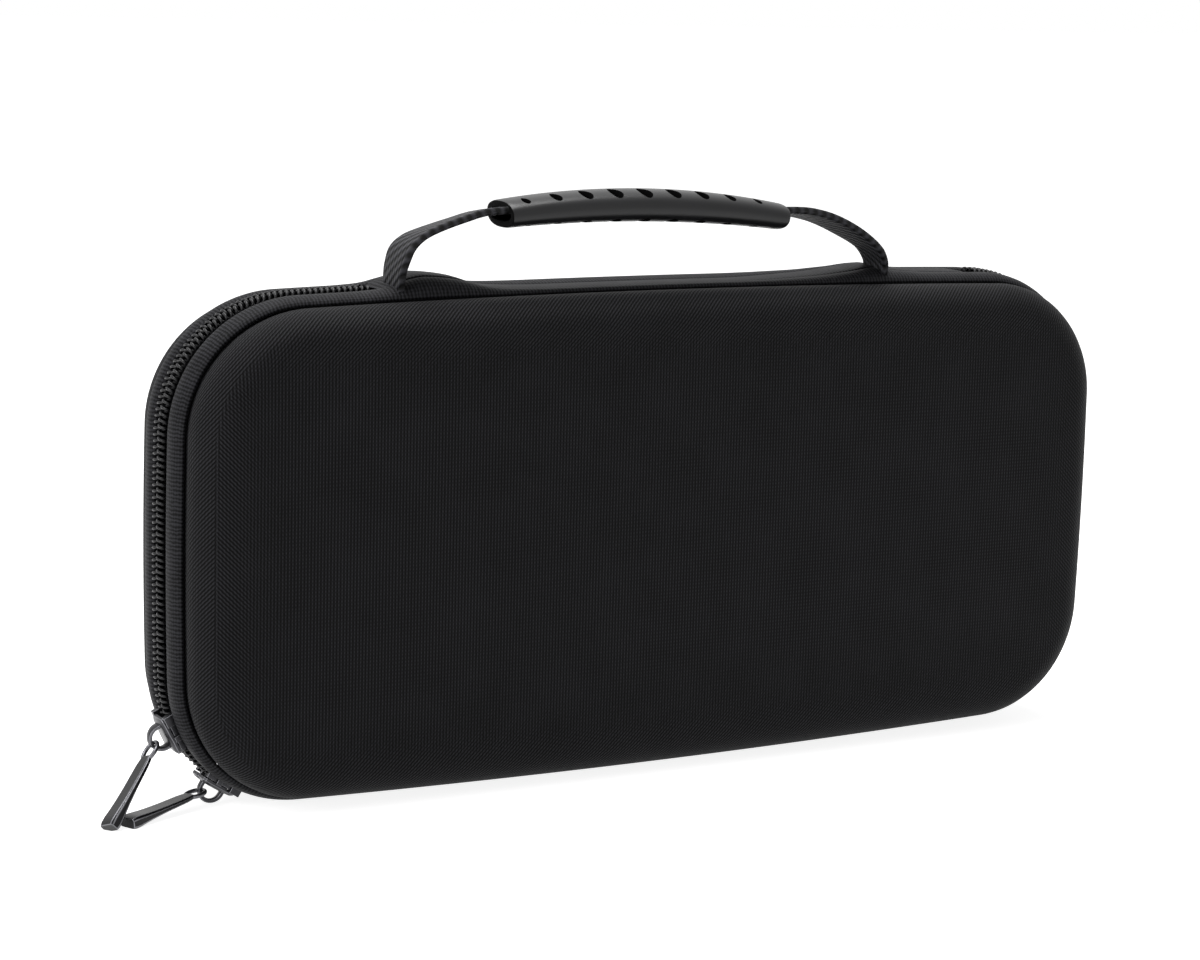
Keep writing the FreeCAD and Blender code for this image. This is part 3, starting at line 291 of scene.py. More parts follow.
def face_middle(point):
    """The nearest point on the line along the face's middle."""
    return Vector((max(-FACE_LINE_HALF, min(FACE_LINE_HALF, point.x)), MIDDLE_Z))


def make_shell(name, side, body):
    """The whole skin of one shell: face, wall, neck, rim and the hollow behind the lining."""
    section = shell_profile()
    lengths = running_lengths(section)
    strips = []
    for station in rim_stations(4.0, 1.6):
        strip = []
        edge, outward = rim(station, section[0][0])
        rolled = outward.y ** 2 - outward.x ** 2
        for share in FACE_STEPS:
            point = face_middle(edge).lerp(edge, share)
            depth = FACE_DEPTH - FACE_CROWN * share ** 4
            slanting = 0.25 * rolled if share == FACE_STEPS[-1] else 0.0
            strip.append(((point.x, side * depth, point.y), (point.x, point.y), slanting))
        for (inset, depth), length in zip(section, lengths):
            point = rim(station, inset)[0]
            spread = edge + outward * length
            slanting = 1.0 if length > WALL_THREADS_START else 0.9 * rolled
            strip.append(((point.x, side * depth, point.y), (spread.x, spread.y), slanting))
        inner = rim(station, section[-1][0])[0]
        for share in (0.6, 0.0):
            point = face_middle(inner).lerp(inner, share)
            strip.append(((point.x, side * (FACE_DEPTH - SHELL_WALL), point.y), (point.x, point.y), 0.0))
        strips.append(strip)
    mesh = bmesh.new()
    slant_layer = mesh.verts.layers.float.new("slant")
    rows = [[place for place, flat_place, slanting in strip] for strip in strips]
    verts = add_grid(mesh, rows, lambda r, c: strips[r % len(strips)][c][1], closed_rows=True)
    for vert_row, strip in zip(verts, strips):
        for vert, (place, flat_place, slanting) in zip(vert_row, strip):
            vert[slant_layer] = slanting
    shell = finish_mesh(name + "_skin", mesh, oxford, merge=0.001)
    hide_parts(name)
    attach(shell, body)


make_shell("front_shell", -1, "front_half")
make_shell("back_shell", 1, "back_half")


# The rim bands: a woven strip rolled over each half's rim and sewn down on the zip tape. Its ribs run
# across the strip. Where the handle's feet go in, the cloth of the front band is pulled up round them.
BAND_SECTION = ((2.2, 4.46), (1.3, 4.42), (0.8, 4.62), (0.5, 5.1), (0.33, 5.8), (0.3, 6.4), (0.32, 7.2),
                (0.42, 8.0), (0.62, 8.8), (0.95, 9.6), (1.4, 10.3), (1.9, 10.75), (2.5, 10.95))
FOOT_PULL = ((-84, 0.0), (-77, 0.5), (-72, 1.9), (-67, 2.9), (-62.7, 2.7), (-57, 1.8), (-52, 0.2),
             (-47, -1.0), (-38, -1.7), (-29, -1.9), (20, -1.9), (28, -1.8), (36, -1.4), (48, -0.6),
             (54, 0.1), (58.5, 0.65), (63, 1.4), (66, 1.6), (70, 0.8), (80, 0.0))
PULL_FULL_DEPTH, PULL_END_DEPTH = 0.5, 11.0
RIB_PITCH, RIB_CROSS_PITCH = 0.95, 0.8

# Polyester woven with ribs: dull, each rib a soft ridge with a faint light, painted on its top, and painted
# shade between the ribs. The real ribs lie about 0.6 mm apart. That is too fine to show, so they are drawn
# 0.95 mm apart.
ribbed, tree, shader = new_material("Ribbed polyester binding", Roughness=0.6, Specular_IOR_Level=0.08,
                                    Sheen_Weight=0.02, Sheen_Roughness=0.4)
coords = add_node(tree, "ShaderNodeUVMap", uv_map="UVMap")
axes = add_node(tree, "ShaderNodeSeparateXYZ", {0: coords})
rib_noise = add_node(tree, "ShaderNodeTexNoise", {"Vector": coords, "Scale": 0.8, "Detail": 2.0})
shaken = math_node(tree, "MULTIPLY_ADD", rib_noise, 0.9, axes.outputs["X"])
rib = threads(tree, shaken, RIB_PITCH)
rib_cross = threads(tree, axes.outputs["Y"], RIB_CROSS_PITCH)
woven = math_node(tree, "MULTIPLY_ADD", rib_cross, 0.35, rib)
height = math_node(tree, "MULTIPLY_ADD", woven, 0.36, 0.5)
blotch = add_node(tree, "ShaderNodeTexNoise", {"Vector": coords, "Scale": 0.15, "Detail": 3.0})
shade = math_node(tree, "MULTIPLY_ADD", blotch, 0.5, -0.25)
lit = math_node(tree, "ADD", height, shade, clamp=True)
paint_relief_light_and_shade(tree, shader, lit, height, (0.2, "#050506"), (0.95, "#2c2c2f"), 0.6, 0.12)


def smooth_steps(points, x):
    """Height at x on a smooth line through the points."""
    if not points[0][0] < x < points[-1][0]:
        return points[0][1] if x <= points[0][0] else points[-1][1]
    last = len(points) - 1
    for number in range(last):
        (x0, y0), (x1, y1) = points[number], points[number + 1]
        if x <= x1:
            before, after = points[max(number - 1, 0)], points[min(number + 2, last)]
            first = (y1 - before[1]) / (x1 - before[0]) * (x1 - x0)
            second = (after[1] - y0) / (after[0] - x0) * (x1 - x0)
            t = (x - x0) / (x1 - x0)
            return (y0 * (2 * t ** 3 - 3 * t ** 2 + 1) + first * (t ** 3 - 2 * t ** 2 + t)
                    + y1 * (3 * t ** 2 - 2 * t ** 3) + second * (t ** 3 - t ** 2))


def pulled_up(point, outward, depth):
    """How far the cloth round the handle's feet stands up, fading out across the band."""
    if outward.y < 0.5:
        return 0.0
    faded = max(0.0, (depth - PULL_FULL_DEPTH) / (PULL_END_DEPTH - PULL_FULL_DEPTH))
    return smooth_steps(FOOT_PULL, point.x) * (1 - faded ** 3)


def sweep_rim(mesh, section, side, stations, lift=None):
    """Sweeps a section of (inset, depth) round the rim. The strip stands pressed flat on the floor."""
    lengths = running_lengths(section + section[:1])
    rows = []
    for station in stations:
        row = []
        for inset, depth in section:
            point, outward = rim(station, inset)
            if lift:
                point = point + outward * lift(point, outward, depth)
            row.append((point.x, side * depth, max(point.y, 0.0)))
        rows.append(row)
    run = stations + [stations[0] + RIM_LENGTH]
    add_grid(mesh, rows, lambda r, c: (run[r], lengths[c]), closed_rows=True, closed_columns=True)


for name, side, body in (("front_rim_band", -1, "front_half"), ("back_rim_band", 1, "back_half")):
    mesh = bmesh.new()
    sweep_rim(mesh, BAND_SECTION, side, rim_stations(2.0, 1.2), lift=pulled_up)
    band = finish_mesh(name + "_woven", mesh, ribbed)
    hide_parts(name)
    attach(band, body)


# The zip tapes: flat ribbons woven from polyester that carry the coil, each sewn between a shell's neck
# and its band. Only a dark line of them shows beside the coil.
TAPE_SECTION = ((2.25, 0.5), (2.25, 4.0), (2.35, 8.0), (2.35, 10.9), (2.68, 10.9), (2.7, 4.0), (2.7, 0.5))

# Polyester woven in twill: dull, with faint slanting lines, painted light on their tops and with painted
# shade between. The real lines lie about 0.5 mm apart. That is too fine to show, so they are drawn 1.3 mm
# apart.
twill, tree, shader = new_material("Polyester zip tape", Roughness=0.75, Specular_IOR_Level=0.1)
coords = add_node(tree, "ShaderNodeUVMap", uv_map="UVMap")
twill_lines = add_node(tree, "ShaderNodeTexWave", {"Vector": coords, "Scale": 0.35, "Distortion": 0.6},
                       bands_direction="DIAGONAL").outputs["Fac"]
paint_relief_light_and_shade(tree, shader, twill_lines, twill_lines, (0.0, "#0a0a0b"), (1.0, "#1b1b1d"), 0.4, 0.05)

for name, side, body in (("zip_tape_front", -1, "front_half"), ("zip_tape_back", 1, "back_half")):
    mesh = bmesh.new()
    sweep_rim(mesh, TAPE_SECTION, side, rim_stations(4.0, 1.6))
    tape = finish_mesh(name + "_woven", mesh, twill)
    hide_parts(name)
    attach(tape, body)


# The zip's coil: two strands of nylon filament, each wound into loops and sewn to its tape. The loops
# interlock except between the two sliders, where the zip is open.
COIL_PITCH = 1.5
FILAMENT = 0.37
LOOP_HEIGHT, LOOP_REACH = 0.93, 1.31
LOOP_MIDDLE_INSET, LOOP_MIDDLE_DEPTH = 0.92, 1.3
OPEN_SPREAD = 0.75
SPINE_LEFT, SPINE_RIGHT = 77.0, 96.0
TURN_POINTS, FILAMENT_SIDES = 11, 6
UPPER_SLIDER_ANGLE, LOWER_SLIDER_ANGLE = 26.0, 57.0


def mottle(tree, shader, patch, dark, light, detail=3.0):
    """Lets the colour wander between two shades in patches of a size in mm. Returns the patches."""
    coords = add_node(tree, "ShaderNodeTexCoord").outputs["Object"]
    patches = add_node(tree, "ShaderNodeTexNoise",
                       {"Vector": coords, "Scale": 1000 / patch, "Detail": detail})
    ramp = add_node(tree, "ShaderNodeValToRGB", {0: patches})
    for element, colour in zip(ramp.color_ramp.elements, (dark, light)):
        element.color = srgb(colour)
    tree.links.new(ramp.outputs[0], shader.inputs["Base Color"])
    return patches


# Nylon filament, drawn smooth and set in loops by heat. Its satin surface shows a bright dot on each loop,
# and handling has left faint patches of about 1.7 mm.
coil_nylon, tree, shader = new_material("Wound nylon filament", Roughness=0.36, Specular_IOR_Level=0.25)
mottle(tree, shader, 1.6667, "#09090a", "#151517", detail=2.0)

corner_x, corner_z, _, corner_start, _ = RIM_ARCS[3]
before_corner = sum(radius * (end - start) for x, z, radius, start, end in RIM_ARCS[:3])


def corner_station(angle):
    """Length along the rim at an angle round the lower left corner, in degrees down from level."""
    return before_corner + (math.pi + math.radians(angle) - corner_start) * CORNER_RADIUS


open_start, open_end = corner_station(UPPER_SLIDER_ANGLE + 3), corner_station(LOWER_SLIDER_ANGLE - 3)
coil_start, coil_end = SPINE_LEFT + 2, RIM_LENGTH - SPINE_RIGHT - 2


def make_strand(name, side, body):
    """One wound strand as a tube that runs round and round along the rim."""
    turns = int((coil_end - coil_start) / COIL_PITCH)
    centres = []
    for number in range(turns * TURN_POINTS):
        phase = 2 * math.pi * number / TURN_POINTS
        station = coil_start + COIL_PITCH * number / TURN_POINTS + (COIL_PITCH / 2 if side > 0 else 0)
        spread = 0.0
        if open_start < station < open_end:
            opened = (station - open_start) / (open_end - open_start)
            spread = OPEN_SPREAD * math.sin(math.pi * opened) ** 0.5
        depth = LOOP_MIDDLE_DEPTH + spread + LOOP_REACH * math.sin(phase)
        point, outward = rim(station, LOOP_MIDDLE_INSET - LOOP_HEIGHT * math.cos(phase))
        centres.append(Vector((point.x, side * depth, point.y)))
    rows, first = [], None
    for index, centre in enumerate(centres):
        ahead = centres[min(index + 1, len(centres) - 1)] - centres[max(index - 1, 0)]
        ahead.normalize()
        first = ahead.orthogonal() if first is None else first - ahead * first.dot(ahead)
        first.normalize()
        second = ahead.cross(first)
        row = []
        for angle in round_turn(FILAMENT_SIDES):
            point = centre + (first * math.cos(angle) + second * math.sin(angle)) * FILAMENT
            row.append((point.x, point.y, max(point.z, 0.0)))
        rows.append(row)
    mesh = bmesh.new()
    add_grid(mesh, rows, lambda r, c: (r, c), closed_columns=True)
    strand = finish_mesh(name + "_wound", mesh, coil_nylon)
    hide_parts(name)
    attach(strand, body)


make_strand("zip_coil_front", -1, "front_half")
make_strand("zip_coil_back", 1, "back_half")


# The spine: a padded roll of the same ribbed cloth that joins the two halves along the top, over the
# zip's two ends. It swells where the handle's feet are sewn in and dives between the bands at its ends.
SPINE_HALF_WIDTH, SPINE_ROLL = 5.0, -0.1
SPINE_ENDS = 5.0
SPINE_ROWS, SPINE_SIDES, SPINE_SIDE = 120, 16, 0.62
spine_stations = [-SPINE_RIGHT + (SPINE_RIGHT + SPINE_LEFT) * number / SPINE_ROWS
                  for number in range(SPINE_ROWS + 1)]
rows = []
for station in spine_stations:
    from_end = min(1.0, (station + SPINE_RIGHT) / SPINE_ENDS, (SPINE_LEFT - station) / SPINE_ENDS)
    swell = math.sqrt(max(0.0, 1 - (1 - from_end) ** 2))
    row = []
    for number in range(SPINE_SIDES + 1):
        angle = math.pi * number / SPINE_SIDES
        inset = 1.0 - (SPINE_ROLL + 1.0) * swell * math.sin(angle) ** 0.35
        point, outward = rim(station, inset)
        point = point + outward * pulled_up(point, outward, PULL_FULL_DEPTH)
        row.append((point.x, -math.cos(angle) * SPINE_HALF_WIDTH, point.y))
    rows.append(row)
mesh = bmesh.new()
add_grid(mesh, rows, lambda r, c: (spine_stations[r], SPINE_SIDE * c))
spine = finish_mesh("spine_cloth_woven", mesh, ribbed)
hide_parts("spine_cloth")
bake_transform(spine)


# The handle's webbing: one woven polyester strap, let into the front band at both feet, bent inwards and
# carried through the sleeve. It is woven in slanting ridges that turn to small squares at the feet.
STRAP_WIDTH, STRAP_THICK, STRAP_EDGE = 11.8, 1.8, 0.7
STRAP_BACK_SHIFT = 0.4
strap_low, strap_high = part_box("handle_strap")
STRAP_MIDDLE = (strap_low[1] + strap_high[1]) / 2 / MM
GRIP_HALF, GRIP_ARCH, GRIP_LEAN = 38.5, 2.4, math.radians(1.4)
GRIP_RISE = 18.3
ARCH_RADIUS = (GRIP_HALF ** 2 + GRIP_ARCH ** 2) / (2 * GRIP_ARCH)
grip_middle = Vector((-6.5, band_high.z + GRIP_RISE))


def arch_point(x):
    """Point and upward direction on the sleeve's arch at x from its middle."""
    angle = math.asin(x / ARCH_RADIUS)
    upward = Vector((math.sin(angle), math.cos(angle)))
    lean = Matrix.Rotation(-GRIP_LEAN, 2)
    return grip_middle + lean @ (upward * ARCH_RADIUS - Vector((0, ARCH_RADIUS))), lean @ upward


# Polyester webbing, woven thick from dyed yarn. Its ridges catch light along their tops and are black
# between; that light and shade are painted into the colour. They lie 2.6 mm apart along the strap as on the
# real one, crossed by threads 1.3 mm apart.
RIDGE_PITCH, CROSS_THREAD_PITCH = 2.6, 1.3
webbing, tree, shader = new_material("Woven polyester webbing", Roughness=0.55, Specular_IOR_Level=0.15,
                                     Sheen_Weight=0.03, Sheen_Roughness=0.4)
coords = add_node(tree, "ShaderNodeUVMap", uv_map="UVMap")
axes = add_node(tree, "ShaderNodeSeparateXYZ", {0: coords})
slanting = math_node(tree, "MULTIPLY_ADD", axes.outputs["Y"], 0.8, axes.outputs["X"])
ridge = threads(tree, slanting, RIDGE_PITCH)
cross_thread = threads(tree, axes.outputs["Y"], CROSS_THREAD_PITCH)
woven = math_node(tree, "MULTIPLY_ADD", cross_thread, 0.45, ridge)
height = math_node(tree, "MULTIPLY_ADD", woven, 0.36, 0.5, clamp=True)
paint_relief_light_and_shade(tree, shader, height, height, (0.2, "#030303"), (0.95, "#3a3a3e"), 0.9, 0.35)

STRAP_LEFT = ((-73.7, 124.3), (-73.8, 127.0), (-73.6, 130.0), (-72.6, 133.6), (-70.3, 136.1),
              (-66.6, 138.0), (-58.2, 140.6), (-49.6, 142.5))
STRAP_RIGHT = ((36.0, 141.3), (43.4, 140.3), (49.6, 138.4), (56.4, 135.2), (61.8, 131.8), (64.8, 128.3),
               (65.5, 125.6), (65.5, 123.9))
half_thick, half_wide = STRAP_THICK / 2, STRAP_WIDTH / 2
STRAP_UNDERSIDE = ((-half_wide, -0.2), (-half_wide + 0.3, -half_thick + 0.15),
                   (-half_wide + STRAP_EDGE, -half_thick), (-3, -half_thick), (0, -half_thick),
                   (3, -half_thick), (half_wide - STRAP_EDGE, -half_thick),
                   (half_wide - 0.3, -half_thick + 0.15), (half_wide, -0.2))
STRAP_SECTION = STRAP_UNDERSIDE + tuple((out, -up) for out, up in reversed(STRAP_UNDERSIDE))
STRAP_TURN = ((9, 0), (18, 7), (32, 8), (41, 5), (60, 0))
STRAP_NARROW = ((0, 0.2), (4, 0.12), (9, 0.0), (16, 0.01), (38, 0.14), (48, 0.14), (60, 0))
STRAP_SET_BACK = ((0, 1.3), (4, 0.8), (9, 0), (60, 0))
bends = [Vector(point) for point in STRAP_LEFT]
bends += [arch_point(-GRIP_HALF + 2 * GRIP_HALF * number / 6)[0] for number in range(1, 6)]
bends += [Vector(point) for point in STRAP_RIGHT]
strap_points = []
for number in range(len(bends) - 1):
    p0, p1 = bends[max(number - 1, 0)], bends[number]
    p2, p3 = bends[number + 1], bends[min(number + 2, len(bends) - 1)]
    for part in range(4):
        t = part / 4
        strap_points.append(0.5 * ((2 * p1) + (p2 - p0) * t + (2 * p0 - 5 * p1 + 4 * p2 - p3) * t * t
                                   + (3 * p1 - p0 - 3 * p2 + p3) * t ** 3))
strap_points.append(bends[-1])
lengths = running_lengths(strap_points)
rows = []
for number, (point, length) in enumerate(zip(strap_points, lengths)):
    ahead = strap_points[min(number + 1, len(strap_points) - 1)] - strap_points[max(number - 1, 0)]
    square = Vector((-ahead.y, ahead.x)).normalized()
    from_end = min(length, lengths[-1] - length)
    turned = math.radians(smooth_steps(STRAP_TURN, from_end))
    narrow = 1 - smooth_steps(STRAP_NARROW, from_end)
    middle = STRAP_MIDDLE + smooth_steps(STRAP_SET_BACK, from_end)
    row = []
    for out, up in STRAP_SECTION:
        turned_out = narrow * (out * math.cos(turned) + up * math.sin(turned))
        turned_up = up * math.cos(turned) - out * math.sin(turned)
        row.append((point.x + square.x * turned_up, middle + turned_out, point.y + square.y * turned_up))
    rows.append(row)
strap_across = [out for out, up in STRAP_UNDERSIDE]
strap_top = STRAP_SECTION[len(STRAP_UNDERSIDE):] + STRAP_SECTION[:1]
strap_across += [out + STRAP_BACK_SHIFT for out, up in strap_top]
mesh = bmesh.new()
add_grid(mesh, rows, lambda r, c: (lengths[r], strap_across[c]), closed_columns=True)
strap = finish_mesh("handle_strap_woven", mesh, webbing)
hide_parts("handle_strap")
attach(strap, "front_half")


# The handle's sleeve: soft plastic moulded round the webbing, an arched oval with open ends and a row of
# drop-shaped vents along its top and bottom.
GRIP_WIDTH, GRIP_HEIGHT = 15.8, 8.1
GRIP_END_WIDTH, GRIP_END_HEIGHT = 14.6, 6.7
GRIP_STRETCH = 1.03
GRIP_BODY_HALF = 37.9
GRIP_STEPS, GRIP_SIDES = 40, 40
GRIP_END = ((-37.4, 1.9), (-38.35, 1.8), (-38.5, 1.6), (-38.5, 0.45), (-38.35, 0.12), (-37.9, 0.0))
GRIP_INSIDE = ((34.0, 1.75), (18.0, 1.75), (0.0, 1.75), (-18.0, 1.75), (-34.0, 1.75))
VENT_COUNT, VENT_PITCH, VENT_SHIFT = 9, 8.2, -1.8
VENT_HALF_LENGTH, VENT_HALF_WIDTH = 3.4, 2.2
VENT_CORNERS = 24

# Thermoplastic rubber from a matt, spark-eroded mould: dark, with a broad soft highlight, and a little
# shinier in patches that hands have rubbed. The real grain of about 0.05 mm is drawn at 0.3 mm.
soft_plastic, tree, shader = new_material("Moulded soft plastic", Roughness=0.38, Specular_IOR_Level=0.3)
patches = mottle(tree, shader, 11.111, "#0c0c0d", "#151517")
rubbed = add_node(tree, "ShaderNodeMapRange", {"Value": patches, "To Min": 0.3, "To Max": 0.42})
coords = add_node(tree, "ShaderNodeTexCoord").outputs["Object"]
grain = add_node(tree, "ShaderNodeTexNoise", {"Vector": coords, "Scale": 3500.0, "Detail": 2.0})
bump = add_node(tree, "ShaderNodeBump", {"Height": grain, "Strength": 0.15, "Distance": 0.03 * MM})
tree.links.new(rubbed.outputs[0], shader.inputs["Roughness"])
tree.links.new(bump.outputs[0], shader.inputs["Normal"])

# The same rubber inside the vents and on the cut ends: rough and dull, and painted near black as the shade
# that falls in there.
painted_shade_rubber, tree, shader = new_material("Painted shade inside the moulded sleeve", Roughness=0.8,
                                          Specular_IOR_Level=0.05)
patches = mottle(tree, shader, 0.5, "#020202", "#0b0b0c", detail=2.0)
bump = add_node(tree, "ShaderNodeBump", {"Height": patches, "Strength": 0.3, "Distance": 0.05 * MM})
tree.links.new(bump.outputs[0], shader.inputs["Normal"])


def squared(turn, power):
    """How far out and up a squared circle is at a turn. The lower the power, the squarer."""
    return [math.copysign(abs(part) ** power, part) for part in (math.cos(turn), math.sin(turn))]


def grip_ring(x, thinner):
    """One oval ring of the sleeve at x from its middle, thinner on all sides by some mm."""
    bulge = 1 - (x / GRIP_HALF) ** 2
    half_width = (GRIP_END_WIDTH + (GRIP_WIDTH - GRIP_END_WIDTH) * bulge) / 2 - thinner
    half_height = (GRIP_END_HEIGHT + (GRIP_HEIGHT - GRIP_END_HEIGHT) * bulge) / 2 - thinner
    point, square = arch_point(x * GRIP_STRETCH)
    ring = []
    for angle in round_turn(GRIP_SIDES):
        out, up = squared(angle, 0.85)
        out, up = out * half_width, up * half_height
        ring.append((point.x + square.x * up, STRAP_MIDDLE + out, point.y + square.y * up))
    return ring


def add_loft(mesh, rings, close_ends=True):
    """Joins rings of points in mm with quads, and closes the two ends."""
    verts = [[mesh.verts.new(point * MM) for point in ring] for ring in rings]
    for low, high in zip(verts, verts[1:]):
        for first in range(len(low)):
            second = (first + 1) % len(low)
            mesh.faces.new((low[first], low[second], high[second], high[first]))
    if close_ends:
        mesh.faces.new(verts[0][::-1])
        mesh.faces.new(verts[-1])


grip_stations = GRIP_END
grip_stations += tuple((GRIP_BODY_HALF * (2 * number / GRIP_STEPS - 1), 0.0)
                       for number in range(1, GRIP_STEPS))
grip_stations += tuple((-x, thinner) for x, thinner in reversed(GRIP_END)) + GRIP_INSIDE
mesh = bmesh.new()
add_grid(mesh, [grip_ring(x, thinner) for x, thinner in grip_stations], lambda r, c: (r, c),
         closed_rows=True, closed_columns=True)
grip = finish_mesh("handle_grip_moulded", mesh, soft_plastic)
mesh = bmesh.new()
for number in range(VENT_COUNT):
    place = number - (VENT_COUNT - 1) / 2
    size = 1 - 0.42 * (2 * place / (VENT_COUNT - 1)) ** 2
    point, square = arch_point(place * VENT_PITCH + VENT_SHIFT)
    drop = []
    for angle in round_turn(VENT_CORNERS):
        out = -VENT_HALF_LENGTH * math.cos(angle)
        taper = 1 - 0.5 * (out + VENT_HALF_LENGTH) / (2 * VENT_HALF_LENGTH)
        drop.append((out * size, VENT_HALF_WIDTH * math.sin(angle) * taper * size))
    for bottom, top, forward in ((0.7, 6.5, -3.5 - 0.8 * (1 - size)), (-6.5, -0.7, -2.8)):
        add_loft(mesh, [[Vector((point.x + square.x * up + square.y * wide, STRAP_MIDDLE + out + forward,
                                 point.y + square.y * up - square.x * wide)) for out, wide in drop]
                        for up in (bottom, top)])
cutter = finish_mesh("vent_cutter", mesh, painted_shade_rubber)
vents = grip.modifiers.new("vents", "BOOLEAN")
vents.object = cutter
vents.operation = "DIFFERENCE"
vents.solver = "EXACT"
# The vents' cut walls take the cutter's near-black painted shade.
vents.material_mode = "TRANSFER"
evaluated = grip.evaluated_get(bpy.context.evaluated_depsgraph_get())
grip_data = bpy.data.meshes.new_from_object(evaluated)
grip.modifiers.clear()
grip.data = grip_data
grip_data.name = "handle_grip_moulded"
for polygon in grip_data.polygons:
    polygon.use_smooth = True
    # The sleeve's flat end faces take the same near-black painted shade.
    if abs(polygon.normal.x) > 0.8 and abs(polygon.center.x) > 36 * MM:
        polygon.material_index = 1
grip_data.set_sharp_from_angle(angle=math.radians(38))
bpy.data.objects.remove(cutter)
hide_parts("handle_grip")
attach(grip, "front_half")


# The sliders: zinc die castings in satin gunmetal. Each has a plate with two broad shoulders where the
# strands part and a narrower tail, a rail along each side that grips the tape, a post between the strands,
# and an arched bail cast on the plate.
PLATE_FOOT, PLATE_TOP = CORNER_RADIUS + 0.7, CORNER_RADIUS + 2.0
PLATE_OUTLINE = ((-4.8, 2.6), (-4.1, 3.3), (-1.0, 3.6), (1.6, 4.1), (4.2, 4.1), (4.8, 3.5), (4.8, 1.3),
                 (4.3, 0.6))
PLATE_LAYERS = ((PLATE_FOOT, 1.0), (PLATE_TOP - 0.55, 1.0), (PLATE_TOP - 0.1, 0.86),
                (PLATE_TOP + 0.15, 0.55))
RAIL_PARTS = ((-5.3, -2.6, 4.5, -2.0, 0.5), (-2.6, 0.2, 3.9, -1.8, -0.2), (0.2, 1.6, 4.5, -2.0, 0.2),
              (1.6, 4.4, 3.9, -1.8, -0.2))
RAIL_INSIDE = 2.9
POST_OUTLINE = ((3.4, 0.35), (4.6, 0.35), (4.6, -0.35), (3.4, -0.35))
POST_DEPTH = 2.4
BAIL_REACH, BAIL_LEG = 2.9, 0.7
BAIL_POINTS, BAIL_SIDES = 24, 12

# Metallic paint over tumbled zinc: a satin grey with sharp lights, uneven in patches of about 1.4 mm.
satin_metal, tree, shader = new_material("Satin gunmetal of the sliders", Metallic=0.8, Roughness=0.34)
mottle(tree, shader, 1.4286, "#28282a", "#404043")

# The same castings along their rounded edges, painted a light grey as the highlight the edges catch.
edge_highlight_metal, tree, shader = new_material("Painted highlight on the edges of the zinc castings", Metallic=0.9, Roughness=0.32)
mottle(tree, shader, 1.1111, "#505054", "#808084")


def at_corner(angle, out, along, across):
    """Point at a slider: out from the corner's centre, along the zip and across it."""
    turn = math.radians(180 + angle)
    outward = Vector((math.cos(turn), 0, math.sin(turn)))
    onward = Vector((-math.sin(turn), 0, math.cos(turn)))
    return Vector((corner_x, 0, corner_z)) + outward * out + onward * along + Vector((0, across, 0))


def round_edges(piece, width, segments, angle):
    """Rounds the edges that turn by more than an angle in degrees, by a width in mm."""
    for polygon in piece.data.polygons:
        polygon.use_smooth = True
    piece.data.set_sharp_from_angle(angle=math.radians(angle))
    edges = piece.modifiers.new("rounded edges", "BEVEL")
    edges.width = width * MM
    edges.segments = segments
    edges.limit_method = "ANGLE"
    edges.angle_limit = math.radians(angle)
    return edges


def finish_casting(name, mesh, rounding, metal):
    """A casting: flat faces kept flat, and edges rounded by some mm and painted bright as a highlight."""
    casting = finish_mesh(name + "_cast", mesh, metal)
    casting.data.materials.append(edge_highlight_metal)
    edges = round_edges(casting, rounding, 2, 30)
    edges.harden_normals = True
    edges.material = 1
    return casting


def make_slider(name, angle, wide_end, body, bail_width, bail_thick):
    """One slider. Its shoulders face along wide_end, which is 1 or -1 along the zip."""
    mesh = bmesh.new()
    outline = [(along * wide_end, across) for along, across in PLATE_OUTLINE]
    outline += [(along, -across) for along, across in reversed(outline)]
    add_loft(mesh, [[at_corner(angle, out, along * size, across * size) for along, across in outline]
                    for out, size in PLATE_LAYERS])
    for side in (-1, 1):
        for low, high, outside, foot, top in RAIL_PARTS:
            rail = ((low, outside), (high, outside), (high, RAIL_INSIDE), (low, RAIL_INSIDE))
            add_loft(mesh, [[at_corner(angle, PLATE_FOOT + out, along * wide_end, across * side)
                             for along, across in rail] for out in (foot, top)])
    add_loft(mesh, [[at_corner(angle, out, along * wide_end, across) for along, across in POST_OUTLINE]
                    for out in (PLATE_FOOT - POST_DEPTH, PLATE_FOOT + 0.1)])
    rings = []
    for number in range(BAIL_POINTS + 1):
        turn = math.pi * number / BAIL_POINTS
        centre_out = PLATE_TOP + BAIL_LEG + BAIL_REACH * math.sin(turn)
        centre_along = BAIL_REACH * math.cos(turn)
        if number in (0, BAIL_POINTS):
            centre_out -= BAIL_LEG + 0.3
        width = bail_width * (1.25 - 0.45 * math.sin(turn))
        ring = []
        for around in round_turn(BAIL_SIDES):
            across, lift = squared(around, 0.6)
            lift *= bail_thick / 2
            ring.append(at_corner(angle, centre_out + math.sin(turn) * lift,
                                  centre_along + math.cos(turn) * lift, width / 2 * across))
        rings.append(ring)
    add_loft(mesh, rings)
    slider = finish_casting(name, mesh, 0.12, satin_metal)
    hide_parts(name)
    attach(slider, body)


make_slider("upper_slider", UPPER_SLIDER_ANGLE, 1, "upper_slider_body", 2.6, 1.0)
make_slider("lower_slider", LOWER_SLIDER_ANGLE, -1, "lower_slider_body", 1.5, 1.1)


